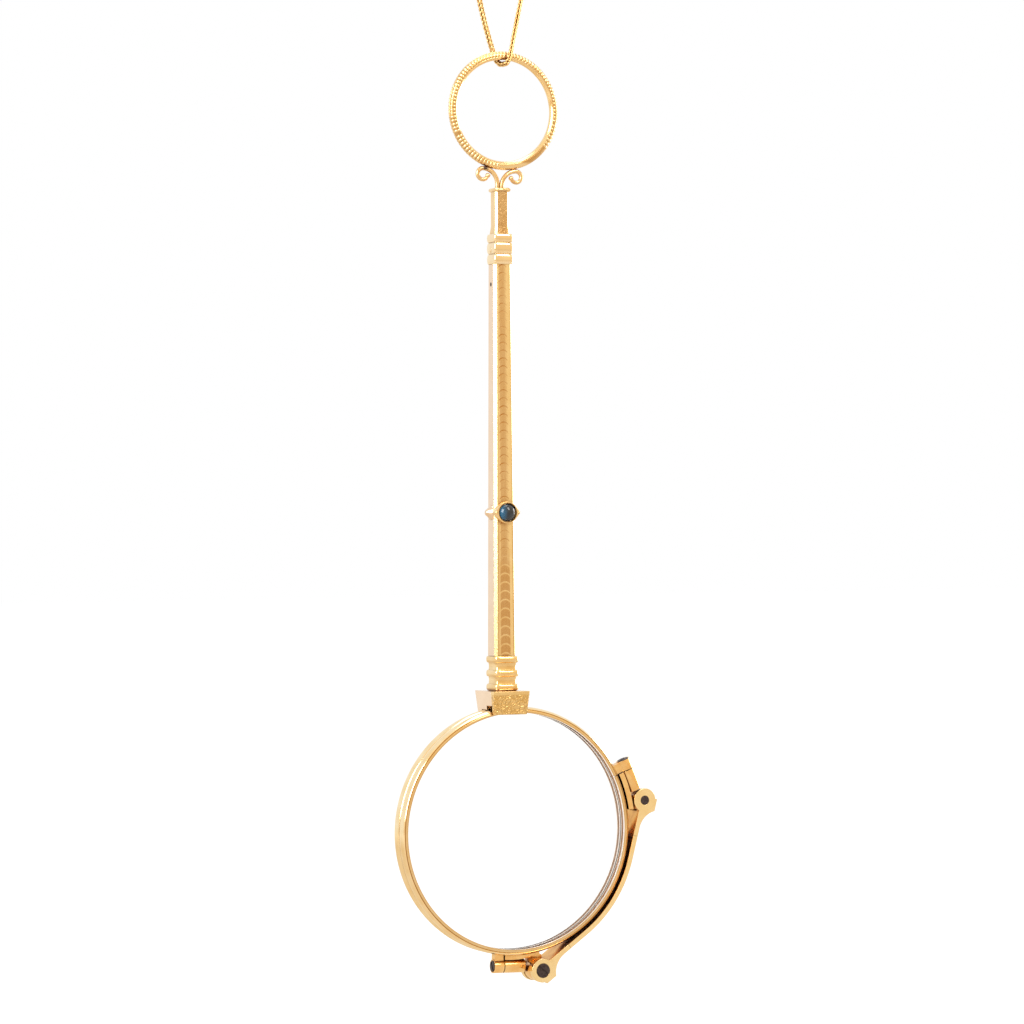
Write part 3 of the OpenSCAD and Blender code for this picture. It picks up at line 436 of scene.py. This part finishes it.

# Finial shaft: filed square bar with broken corners, a moulded cap above and a flared foot below.
# Its face is cut with close wriggle work in a dark tone, darker in patches and towards the foot.


def dressed(node, soft):
    """Copy of a CAD node's solid with its loose triangles merged and its sharp edges rounded by soft."""
    source = bmesh.new()
    source.from_mesh(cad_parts[node].data)
    bmesh.ops.remove_doubles(source, verts=source.verts, dist=2e-7)
    bmesh.ops.dissolve_limit(source, angle_limit=math.radians(1.0), verts=source.verts, edges=source.edges)
    mesh = bpy.data.meshes.new(node)
    source.to_mesh(mesh)
    source.free()
    carrier = bpy.data.objects.new(node + " edges", mesh)
    bpy.context.collection.objects.link(carrier)
    rounder = carrier.modifiers.new("edges", "BEVEL")
    rounder.width, rounder.segments, rounder.limit_method = soft, 3, "ANGLE"
    rounder.angle_limit = math.radians(28)
    rounder.miter_outer = "MITER_ARC"
    finished = bpy.data.meshes.new_from_object(carrier.evaluated_get(bpy.context.evaluated_depsgraph_get()))
    finished.shade_smooth()
    finished.set_sharp_from_angle(angle=math.radians(40))
    carrier.modifiers.clear()
    carrier.data = finished
    flats = carrier.modifiers.new("flats", "WEIGHTED_NORMAL")
    flats.keep_sharp, flats.weight = True, 100
    finished = bpy.data.meshes.new_from_object(carrier.evaluated_get(bpy.context.evaluated_depsgraph_get()))
    finished.name = node
    bpy.data.objects.remove(carrier)
    return finished


def wriggle(tree, place):
    """Close hand-cut wriggle lines on the front face only."""
    spot = put(tree, "ShaderNodeSeparateXYZ", {0: place})
    front = shape_value(tree, spot.outputs["Y"], -0.00101, -0.00104)
    off = work(tree, "ABSOLUTE", work(tree, "SUBTRACT", spot.outputs["X"], 0.001 * handle_x))
    inside = shape_value(tree, off, 0.00078, 0.0007)
    cut = put(tree, "ShaderNodeTexWave", {"Vector": place, "Scale": 620.0, "Distortion": 14.0, "Detail": 2.0,
        "Detail Scale": 3.0}, bands_direction="DIAGONAL").outputs[1]
    # Darker in noise patches and more so towards the foot of the shaft.
    low = shape_value(tree, spot.outputs["Z"], -0.0164, -0.0182, 0.15, 1.0)
    patch = put(tree, "ShaderNodeTexNoise", {"Vector": place, "Scale": 1100.0, "Detail": 2.0}).outputs[0]
    patches_towards_foot = work(tree, "ADD", patch, work(tree, "MULTIPLY", low, 0.3))
    dark = work(tree, "MULTIPLY", shape_value(tree, patches_towards_foot, 0.4, 0.95), 0.8)
    lines = work(tree, "ADD", 0.33, work(tree, "MULTIPLY", cut, 0.15))
    mask = work(tree, "MULTIPLY", front, inside)
    share = work(tree, "MULTIPLY", mask, work(tree, "MAXIMUM", dark, lines))
    return share, (0.36, 0.17, 0.04, 1), work(tree, "MULTIPLY", mask, work(tree, "MULTIPLY", cut, 0.4))


shaft_gold = gold("shaft gold", (0.93, 0.7, 0.4, 1), (0.84, 0.57, 0.28, 1), 0.2, 0.000008, pattern=wriggle)
piece("finial_shaft", dressed("finial_shaft", 0.00005), shaft_gold, "handle", "gold", "finial_shaft")

# Top collar: three pulled bands, bright polished, that sleeve the shaft's foot into the tube.
# A small domed rivet passes through the middle band.
polished = gold("polished gold", (0.97, 0.8, 0.54, 1), (0.92, 0.72, 0.44, 1), 0.09)


def banded(name, rows, bore=None):
    """Upright form of rounded square plan from rows of (height, half width, half depth, squareness) in mm,
    with the handle's axis in its middle. bore is the half width and half depth of a channel through it."""
    around = 128
    form = bmesh.new()
    loops = []
    if bore:
        rows = rows + [(rows[-1][0], *bore, 12), (rows[0][0], *bore, 12)]
    for height, wide, deep, square in rows:
        loop = []
        for i in range(around):
            a = 2 * math.pi * (i + 0.5) / around
            reach = (abs(math.cos(a)) ** square + abs(math.sin(a)) ** square) ** (-1 / square)
            x, y = wide * reach * math.cos(a) + handle_x, deep * reach * math.sin(a)
            loop.append(form.verts.new((0.001 * x, 0.001 * y, 0.001 * height)))
        loops.append(loop)
    for near, far in zip(loops, loops[1:] + loops[:1] if bore else loops[1:]):
        for i in range(around):
            form.faces.new([near[i], near[(i + 1) % around], far[(i + 1) % around], far[i]])
    if not bore:
        form.faces.new(loops[0])
        form.faces.new(loops[-1])
    bmesh.ops.recalc_face_normals(form, faces=form.faces)
    mesh = bpy.data.meshes.new(name)
    form.to_mesh(mesh)
    form.free()
    return mesh


collar_rows = []
collar_core, collar_swell, collar_squareness = 1.37, 0.21, 8
for low, high in ((-23.1, -21.59), (-21.53, -19.87), (-19.81, -18.55)):
    for i in range(15):
        t = math.pi * (i / 14 - 0.5)
        half = collar_core + collar_swell * math.cos(t) ** 0.8
        collar_rows.append(((low + high) / 2 + (high - low) / 2 * math.sin(t), half, half, collar_squareness))
piece("top_collar", banded("top_collar", collar_rows), polished, "handle", "gold", "top_collar", smooth=50)
piece("collar_rivet", dressed("collar_rivet", 0.00002), polished, "handle", "gold", "collar_rivet")

# Handle tube: gold sheet folded to a tapering square tube with broken corners, its plain sides painted pale
# for the white they reflect. The face carries one column of cut scales between two fine borders; below the
# button the dark fill thins, and the arcs carry a painted highlight on a ground of painted shade.
tube_top_z = -0.0231


def scales(tree, place):
    """One column of arched scale cuts on the front face, wider and further apart towards the foot.
    run is the way down the tube in mm, and lean goes from -1 to 1 across the column."""
    spot = put(tree, "ShaderNodeSeparateXYZ", {0: place})
    run = work(tree, "MULTIPLY", work(tree, "SUBTRACT", tube_top_z, spot.outputs["Z"]), 1000.0)

    def grows(start, each):
        """Length that starts at the top of the tube and grows by each for every mm down it."""
        return work(tree, "ADD", start, work(tree, "MULTIPLY", run, each))

    from_column = work(tree, "ADD", spot.outputs["X"], grows(0.00088, -0.0000015))
    column_half = grows(0.00064, 0.0000028)
    lean = work(tree, "DIVIDE", from_column, column_half)
    side = work(tree, "ABSOLUTE", lean)
    off = work(tree, "ABSOLUTE", work(tree, "SUBTRACT", spot.outputs["X"], 0.001 * handle_x))
    edge = work(tree, "SUBTRACT", off, grows(0.00107, 0.000006))
    front = shape_value(tree, work(tree, "ADD", spot.outputs["Y"], grows(0.00128, 0.0000046)), 0.00006, 0.00003)
    count = work(tree, "SUBTRACT", work(tree, "MULTIPLY", run, 0.877),
        work(tree, "MULTIPLY", work(tree, "MULTIPLY", run, run), 0.00116))
    arch = work(tree, "SUBTRACT", count, work(tree, "MULTIPLY", work(tree, "POWER", side, 2.4), 0.3))
    step = work(tree, "FRACT", arch)
    inside = shape_value(tree, side, 1.02, 0.96)
    line = work(tree, "MULTIPLY", shape_value(tree, step, 0.0, 0.04), shape_value(tree, step, 0.24, 0.12))
    line = work(tree, "MULTIPLY", line, inside)
    border = work(tree, "MULTIPLY", shape_value(tree, edge, -0.00026, -0.00021),
        shape_value(tree, edge, -0.0001, -0.00014))
    hatch = put(tree, "ShaderNodeTexWave", {"Vector": place, "Scale": 1300.0, "Distortion": 3.0},
        bands_direction="X").outputs[1]
    below_button = shape_value(tree, run, 41.0, 46.0)
    rag = put(tree, "ShaderNodeTexNoise", {"Vector": place, "Scale": 380.0, "Detail": 2.0}).outputs[0]
    # The ground's dark tone fades over the right third of the column, a painted highlight; below the button it is
    # darker, a painted shade.
    dim = work(tree, "MULTIPLY", shape_value(tree, lean, -1.0, -0.7), shape_value(tree, lean, 1.0, 0.3))
    dim = work(tree, "MAXIMUM", dim, work(tree, "MULTIPLY", below_button, inside))
    dim_by = work(tree, "ADD", 0.4, work(tree, "MULTIPLY", below_button, 0.14))
    ground_tone = work(tree, "MULTIPLY", dim, work(tree, "ADD", dim_by, work(tree, "MULTIPLY", hatch, 0.16)))
    left_rim = work(tree, "MULTIPLY", shape_value(tree, lean, -1.0, -1.1), 0.16)
    ground_tone = work(tree, "MAXIMUM", ground_tone, left_rim)
    kept = work(tree, "MULTIPLY", shape_value(tree, rag, 0.35, 0.6, 0.6, 1.0),
        work(tree, "SUBTRACT", 1.0, work(tree, "MULTIPLY", below_button, 0.75)))
    # The dark lines also fade towards the right, a painted highlight, and sheen lightens the arcs below the button, a
    # painted highlight too.
    dark_line = work(tree, "MULTIPLY", line,
        work(tree, "MULTIPLY", kept, shape_value(tree, lean, -0.2, 1.0, 1.0, 0.55)))
    sheen = work(tree, "MULTIPLY", line, below_button)
    border_tone = work(tree, "MULTIPLY", border, shape_value(tree, run, 30.0, 42.0, 0.15, 0.55))
    share = work(tree, "MAXIMUM", work(tree, "SUBTRACT", ground_tone, work(tree, "MULTIPLY", sheen, 0.5)),
        work(tree, "MAXIMUM", dark_line, border_tone))
    hatch_cut = work(tree, "MULTIPLY", hatch, work(tree, "MULTIPLY", inside, 0.3))
    cut = work(tree, "MAXIMUM", work(tree, "MAXIMUM", border, hatch_cut), work(tree, "MULTIPLY", line, 0.7))
    return work(tree, "MULTIPLY", share, front), (0.46, 0.19, 0.03, 1), work(tree, "MULTIPLY", cut, front)


engraved = gold("engraved gold", (0.98, 0.79, 0.47, 1), (0.93, 0.71, 0.38, 1), 0.2, 0.0000025, pattern=scales)
# A paler gold, painted pale for the white paper that the tube's sides, the setting band, the bosses and the catch block
# reflect.
pale_reflection_gold = gold("pale reflection gold", (0.89, 0.7, 0.53, 1), (0.86, 0.66, 0.48, 1), 0.14, corner_shade=0.4)
tube_mesh = dressed("handle_tube", 0.00005)
piece("handle_tube", tube_mesh, engraved, "handle", "gold", "handle_tube")
# The tube's side faces take the gold painted pale for the reflected white.
tube_mesh.materials.append(pale_reflection_gold)
for face in tube_mesh.polygons:
    if abs(face.normal.x) > 0.95:
        face.material_index = 1

# Button setting: a thin bezel drawn out to a point each way with a bead in each point, on a band round
# the tube with a bossed end on each side face. It is soldered on, and the stone's cup slides in it.
setting_gold = gold("setting gold", (0.95, 0.74, 0.45, 1), (0.86, 0.6, 0.3, 1), 0.12, corner_shade=0.85)
button_z, wall_steps = -60.3, 96
bezel_out, bezel_in, point = 1.63, 1.47, 2.12
turn_to_point = math.acos(bezel_out / point)
form = bmesh.new()
walls = []
for i in range(wall_steps):
    a = 2 * math.pi * i / wall_steps
    off = min(abs(a - c) for c in (0, math.pi, 2 * math.pi))
    reach = min(point, bezel_out / math.cos(turn_to_point - off)) if off < turn_to_point else bezel_out
    walls.append((math.cos(a), math.sin(a), reach))
bezel_loops = [[(reach * k, y) for _, _, reach in walls]
    for k, y in [(1.0, -1.3), (1.0, -2.3), (0.985, -2.38), (0.97, -2.4)]]
bezel_loops += [[(bezel_in, y)] * wall_steps for y in (-2.4, -1.3)]
loops = [[form.verts.new((0.001 * (across * r + handle_x), 0.001 * y, 0.001 * (up * r + button_z)))
    for (across, up, _), (r, y) in zip(walls, loop)] for loop in bezel_loops]
for near, far in zip(loops, loops[1:] + loops[:1]):
    for i in range(wall_steps):
        form.faces.new([near[i], near[(i + 1) % wall_steps], far[(i + 1) % wall_steps], far[i]])
bmesh.ops.recalc_face_normals(form, faces=form.faces)
bezel_mesh = bpy.data.meshes.new("gem_setting")
form.to_mesh(bezel_mesh)
form.free()
piece("gem_setting", bezel_mesh, setting_gold, "handle", "gold", "gem_setting", smooth=35)
band_half, band_deep, band_high = 1.72, 1.42, 0.36
band_rows = []
for a in range(-90, 91, 15):
    swell = math.cos(math.radians(a))
    band_rows.append((button_z + band_high * math.sin(math.radians(a)), band_half + 0.09 * swell,
        band_deep + 0.07 * swell, 9))
# The band and the bosses take the gold painted pale for the reflected white.
piece("setting_band", banded("setting_band", band_rows, (1.5, 1.3)), pale_reflection_gold, "handle", "gold", smooth=50)
boss_outline = [(0.0, -0.1), (1.12, -0.1), (1.12, 0.06), (1.0, 0.18), (0.83, 0.34), (0.68, 0.5), (0.55, 0.64),
    (0.47, 0.76), (0.38, 0.87), (0.24, 0.95), (0.1, 0.985), (0.0, 0.99)]
boss_outline = [(0.001 * r, 0.001 * h) for r, h in boss_outline]
bead_r = 0.0002
bead_outline = [(bead_r * math.sin(math.radians(a)), -bead_r * math.cos(math.radians(a))) for a in range(0, 181, 15)]
boss_x, bead_x, bead_y = 0.00169, 0.00184, -0.00235
for side, name in ((-1, "left"), (1, "right")):
    seat = (Matrix.Translation((0.001 * handle_x + side * boss_x, 0, 0.001 * button_z))
        @ Matrix.Rotation(math.radians(90 * side), 4, "Y"))
    piece("setting_boss_" + name, lathe("setting boss", boss_outline, seat, 48), pale_reflection_gold, "handle", "gold", smooth=60)
    seat = Matrix.Translation((0.001 * handle_x + side * bead_x, bead_y, 0.001 * button_z))
    piece("setting_bead_" + name, lathe("setting bead", bead_outline, seat, 24), setting_gold, "handle", "gold",
        smooth=80)
piece("button_cup", dressed("button_cup", 0.00004), ring_gold, "push_button", "gold", "button_cup")

# Push button stone: a deep blue sapphire cut as a smooth dome, nearly black where it is thickest and
# teal along its left edge, where light comes through.
stone_blue = bpy.data.materials.new("sapphire")
stone_blue.use_nodes = True
tree = stone_blue.node_tree
tree.nodes.clear()
place = put(tree, "ShaderNodeTexCoord").outputs["Object"]
spot = put(tree, "ShaderNodeSeparateXYZ", {0: place})
edge = shape_value(tree, spot.outputs["X"], -0.0009, -0.00175)
milky = put(tree, "ShaderNodeTexNoise", {"Vector": place, "Scale": 1600.0, "Detail": 2.0}).outputs[0]
body_blue = blend_colour(tree, shape_value(tree, milky, 0.35, 0.7), (0.006, 0.01, 0.015, 1), (0.016, 0.024, 0.033, 1))
stone_colour = blend_colour(tree, edge, body_blue, (0.008, 0.1, 0.19, 1))
put(tree, "ShaderNodeOutputMaterial", {0: put(tree, "ShaderNodeBsdfPrincipled", {"Base Color": stone_colour,
    "Roughness": 0.08, "IOR": 1.6})})
stone_r, dome_high = 1.3, 0.8
dome_r = (stone_r ** 2 + dome_high ** 2) / (2 * dome_high)
dome_angles = [math.asin(stone_r / dome_r) * i / 24 for i in range(24, -1, -1)]
stone_outline = [(0.0, -1.0), (1.28, -1.0), (stone_r, -0.98)]
stone_outline += [(dome_r * math.sin(a), dome_r * math.cos(a) - dome_r) for a in dome_angles]
stone_outline = [(0.001 * r, 0.001 * h) for r, h in stone_outline]
stone_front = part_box("cabochon")[0][1]
stone_seat = Matrix.Translation((0.001 * handle_x, stone_front, 0.001 * button_z)) @ face_on
piece("cabochon", lathe("cabochon", stone_outline, stone_seat, 64), stone_blue, "push_button", "stone",
    "cabochon", smooth=50)

# Neck mouldings: three rounded rings filed on a square core, between the tube and the block, with painted
# shade from the gold's occlusion darkening in the two hollows. The latch lever passes down the channel inside.
neck_gold = gold("neck gold", (0.94, 0.72, 0.4, 1), (0.85, 0.59, 0.27, 1), 0.15, corner_shade=0.8)
neck_core, neck_swell, core_squareness = 1.74, 0.33, 7
ring_half, ring_middle = 0.5, 0.54
neck_rows = [(-87.0, neck_core, neck_core, core_squareness)]
for ring_low in (-87.0, -84.915, -82.83):
    for i in range(17):
        t = math.pi * (i / 16 - 0.5)
        half = neck_core + neck_swell * math.cos(t) ** 0.8
        neck_rows.append((ring_low + ring_middle + ring_half * math.sin(t), half, half,
            core_squareness - 2.2 * math.cos(t)))
    for up, half in ((1.2, 1.69), (1.55, 1.66), (1.9, 1.69)):
        neck_rows.append((ring_low + up, half, half, core_squareness))
lever_channel = (0.5, 1.0)
piece("neck_mouldings", banded("neck_mouldings", neck_rows[:-3], lever_channel), neck_gold, "handle", "gold",
    "neck_mouldings", smooth=50)

# Catch block: solid gold wedge slotted from below for the front rim, with polished flanks painted pale for the white
# they reflect.
# Its front wall is chased with a close leafy ground under a plain top border.


def chased(tree, place):
    """Close chased ground on the front wall below a plain border."""
    spot = put(tree, "ShaderNodeSeparateXYZ", {0: place})
    below = shape_value(tree, spot.outputs["Z"], -0.08745, -0.0876)
    cells = put(tree, "ShaderNodeTexVoronoi", {"Vector": place, "Scale": 1500.0}, feature="DISTANCE_TO_EDGE").outputs[0]
    leaf = put(tree, "ShaderNodeTexWave", {"Vector": place, "Scale": 330.0, "Distortion": 22.0, "Detail": 2.0,
        "Detail Scale": 2.2}, bands_direction="DIAGONAL").outputs[1]
    cut = work(tree, "MAXIMUM", shape_value(tree, cells, 0.12, 0.02), shape_value(tree, leaf, 0.6, 0.95))
    share = work(tree, "MULTIPLY", below, work(tree, "ADD", 0.2, work(tree, "MULTIPLY", cut, 0.4)))
    return share, (0.6, 0.33, 0.07, 1), work(tree, "MULTIPLY", below, work(tree, "MULTIPLY", cut, 1.6))


chased_gold = gold("chased gold", (0.94, 0.7, 0.35, 1), (0.87, 0.61, 0.27, 1), 0.22, 0.00001, pattern=chased)
piece("catch_face", dressed("catch_face", 0.00005), chased_gold, "handle", "gold", "catch_face")
piece("catch_block", dressed("catch_block", 0.00005), pale_reflection_gold, "handle", "gold", "catch_block")

# Rims: half-round gold wire rolled to a hoop with a groove inside for the lens, sawn through beside
# its closing joint. The front one rides on the bridge, the rear one is held by the block.
lens_x, front_y, lens_z = 0.00067, -0.000425, -0.108
hinge_turn = math.radians(34.4)
fold = Matrix.Translation((lens_x, front_y, lens_z)) @ Matrix.Rotation(hinge_turn, 4, "Y")
seats = {"front": fold, "rear": fold @ Matrix.Rotation(math.radians(180), 4, "X")}
homes = {"front": "free_lens", "rear": "handle"}


def rim_shade_and_face(tree, place):
    """Painted shade in the fine groove of each side face and at its inner edge, and a warmer face between."""
    spot = put(tree, "ShaderNodeSeparateXYZ", {0: place})
    across = put(tree, "ShaderNodeCombineXYZ", {0: work(tree, "SUBTRACT", spot.outputs["X"], lens_x),
        1: work(tree, "SUBTRACT", spot.outputs["Z"], lens_z)})
    reach = put(tree, "ShaderNodeVectorMath", {0: across}, operation="LENGTH").outputs["Value"]
    off = work(tree, "ABSOLUTE", work(tree, "SUBTRACT", reach, 0.0182))
    groove = shape_value(tree, off, 0.0001, 0.00005)
    inner = work(tree, "MULTIPLY", shape_value(tree, reach, 0.01787, 0.01783),
        shape_value(tree, reach, 0.01776, 0.0178))
    face = shape_value(tree, reach, 0.01822, 0.01818, 0.0, 0.3)
    lines = work(tree, "MAXIMUM", work(tree, "MULTIPLY", groove, 0.95), work(tree, "MULTIPLY", inner, 0.7))
    share = work(tree, "MAXIMUM", lines, face)
    return share, (0.52, 0.26, 0.05, 1), work(tree, "MULTIPLY", groove, 0.5)


rim_gold = gold("rim gold", (0.97, 0.8, 0.52, 1), (0.91, 0.69, 0.38, 1), 0.11, pattern=rim_shade_and_face)
# The inner wall of each rim gets a nearly white gold: painted light, for the wall sits behind the glass where lamp
# light hardly reaches.
lit_wall_gold = gold("rim wall painted light", (0.99, 0.92, 0.83, 1), (0.96, 0.86, 0.74, 1), 0.16, corner_shade=0.2)
rim_outer, rim_swell, rim_inner = 18.65, 1.2688, 17.7
side_face = [(rim_inner, 0.625), (17.73, 0.865), (17.8, 0.875), (18.12, 0.875), (18.2, 0.82), (18.28, 0.865)]
rim_outline = list(side_face)
for i in range(25):
    a = math.radians(40 - 80 * i / 24)
    rim_outline.append((rim_outer - rim_swell + rim_swell * math.cos(a), rim_swell * math.sin(a)))
rim_outline += [(r, -h) for r, h in reversed(side_face)]
rim_outline += [(18.04, -0.625), (18.05, -0.6), (18.05, 0.6), (18.04, 0.625)]
rim_outline = [(0.001 * r, 0.001 * h) for r, h in rim_outline]
cut_beside, cut_reach, joint_turn, saw_half = 0.9, 18.2, 57, 0.19
saw = math.degrees(math.asin(cut_beside / cut_reach)) + joint_turn
levels = {side: seat @ Matrix.Translation((0, -0.001, 0)) @ face_on for side, seat in seats.items()}
for side, level in levels.items():
    rim_mesh = lathe(side + " rim", rim_outline, level, 300, saw + saw_half, saw + 360 - saw_half)
    piece(side + "_rim", rim_mesh, rim_gold, homes[side], "gold", side + "_rim", smooth=50)
    # Faces of the inner wall take the nearly white gold, painted light.
    rim_mesh.materials.append(lit_wall_gold)
    back_to_level = level.inverted()
    for face in rim_mesh.polygons:
        spot = back_to_level @ face.center
        if math.hypot(spot.x, spot.y) < 0.001 * (rim_inner + 0.04):
            face.material_index = 1

# Lenses: round white crown glass, ground thinner to the edge and left grey and satin on the edge itself, which
# is given a faint glow, painted light, so that it shows through the glass as a pale line inside the rim.
lens_glass = bpy.data.materials.new("lens glass")
lens_glass.use_nodes = True
tree = lens_glass.node_tree
tree.nodes.clear()
put(tree, "ShaderNodeOutputMaterial", {0: put(tree, "ShaderNodeBsdfPrincipled", {"Base Color": (1, 1, 1, 1),
    "Roughness": 0.0, "IOR": 1.5, "Transmission Weight": 1.0})})
ground_edge = bpy.data.materials.new("ground lens edge")
ground_edge.use_nodes = True
tree = ground_edge.node_tree
tree.nodes.clear()
place = put(tree, "ShaderNodeTexCoord").outputs["Object"]
satin = put(tree, "ShaderNodeTexNoise", {"Vector": place, "Scale": 4000.0, "Detail": 2.0}).outputs[0]
grey = blend_colour(tree, satin, (0.82, 0.79, 0.79, 1), (0.92, 0.9, 0.9, 1))
ground_marks = put(tree, "ShaderNodeBump", {"Distance": 0.000004, "Height": satin})
# The edge glows faintly through its emission: painted light for the light that the glass keeps from it.
put(tree, "ShaderNodeOutputMaterial", {0: put(tree, "ShaderNodeBsdfPrincipled", {"Base Color": grey,
    "Roughness": 0.45, "Emission Color": (1.0, 0.95, 0.93, 1), "Emission Strength": 0.65, "Normal": ground_marks})})
lens_r, edge_half, crown = 18.0, 0.6, 0.21
half_face = [(lens_r * i / 30, edge_half + crown * (1 - (i / 30) ** 2)) for i in range(31)]
lens_outline = [(0.001 * r, 0.001 * h) for r, h in half_face[::-1]] + [(0.001 * r, -0.001 * h) for r, h in half_face]
for side, level in levels.items():
    lens_mesh = lathe(side + " lens", lens_outline, level, 240)
    piece(side + "_lens", lens_mesh, lens_glass, homes[side], "lens", side + "_lens", smooth=30)
    lens_mesh.materials.append(ground_edge)
    axis = (level.to_3x3() @ Vector((0, 0, 1))).normalized()
    for face in lens_mesh.polygons:
        if abs(face.normal.dot(axis)) < 0.3:
            face.material_index = 1

# Closing joints: a knuckle on each side of the saw cut, drawn together by a small steel screw whose
# slotted head fills the barrel's outer end. The inner knuckle belongs to the hinge lug.
joint_gold = gold("joint gold", (0.99, 0.71, 0.35, 1), (0.88, 0.52, 0.19, 1), 0.14, corner_shade=1.0)
steel = bpy.data.materials.new("blued steel")
steel.use_nodes = True
tree = steel.node_tree
tree.nodes.clear()
place = put(tree, "ShaderNodeTexCoord").outputs["Object"]
turned_marks = put(tree, "ShaderNodeTexNoise", {"Vector": place, "Scale": 3500.0, "Detail": 3.0}).outputs[0]
blued = blend_colour(tree, shape_value(tree, turned_marks, 0.35, 0.7), (0.045, 0.032, 0.036, 1), (0.1, 0.078, 0.082, 1))
put(tree, "ShaderNodeOutputMaterial", {0: put(tree, "ShaderNodeBsdfPrincipled", {"Base Color": blued,
    "Metallic": 0.85, "Roughness": shape_value(tree, turned_marks, 0.3, 0.7, 0.3, 0.5),
    "Normal": put(tree, "ShaderNodeBump", {"Distance": 0.000005, "Height": turned_marks})})})
for side in seats:
    for part, soft, metal, slot in (("_closing_knuckle", 0.00004, joint_gold, "gold"),
                                    ("_closing_screw", 0.00003, steel, "steel"),
                                    ("_pivot_lug", 0.00004, joint_gold, "gold")):
        piece(side + part, dressed(side + part, soft), metal, homes[side], slot, side + part)

# Bridge: a bow of flat strip round the rims, with a fork soldered on each end at an oblique seam.
# Its edges are eased; the outside is a pale gold, and the inner side, turned to the rims, carries painted shade in dark
# orange.
bow_gold = gold("bow gold", (1.0, 0.83, 0.51, 1), (0.95, 0.74, 0.4, 1), 0.16)
bow_shade = gold("bow shade", (0.6, 0.27, 0.05, 1), (0.38, 0.14, 0.02, 1), 0.22)
fork_shade = gold("fork shade", (0.84, 0.47, 0.13, 1), (0.62, 0.28, 0.06, 1), 0.2)
for name, soft, hollow in (("bridge_bow", 0.00007, bow_shade), ("upper_fork", 0.00008, fork_shade),
                           ("lower_fork", 0.00008, fork_shade)):
    strip_mesh = dressed(name, soft)
    piece(name, strip_mesh, bow_gold, "bridge", "gold", name)
    strip_mesh.materials.append(hollow)
    # Faces turned towards the middle of the lens take the dark orange painted shade.
    for face in strip_mesh.polygons:
        inward = Vector((lens_x - face.center.x, 0, lens_z - face.center.z)).normalized()
        if face.normal.dot(inward) > 0.55:
            face.material_index = 1

# Hinge screws and springs: dark steel screws, headed at the back above and at the front below, each
# the arbor of a flat spiral spring inside the hinge's drum.
for end in ("upper", "lower"):
    for part, soft in (("_hinge_screw", 0.00003), ("_hinge_spring", 0.00001)):
        piece(end + part, dressed(end + part, soft), steel, "bridge", "steel", end + part)

# Catch inside the handle: a long steel lever on a cross pin, pressed forward by a leaf spring, with a
# hooked foot that holds the front rim. It shows only through the slot and in the open views.
for name, soft, body in (("latch_lever", 0.00003, "latch"), ("lever_pin", 0.00002, "handle"),
                         ("latch_spring", 0.00002, "handle")):
    piece(name, dressed(name, soft), steel, body, "steel", name)
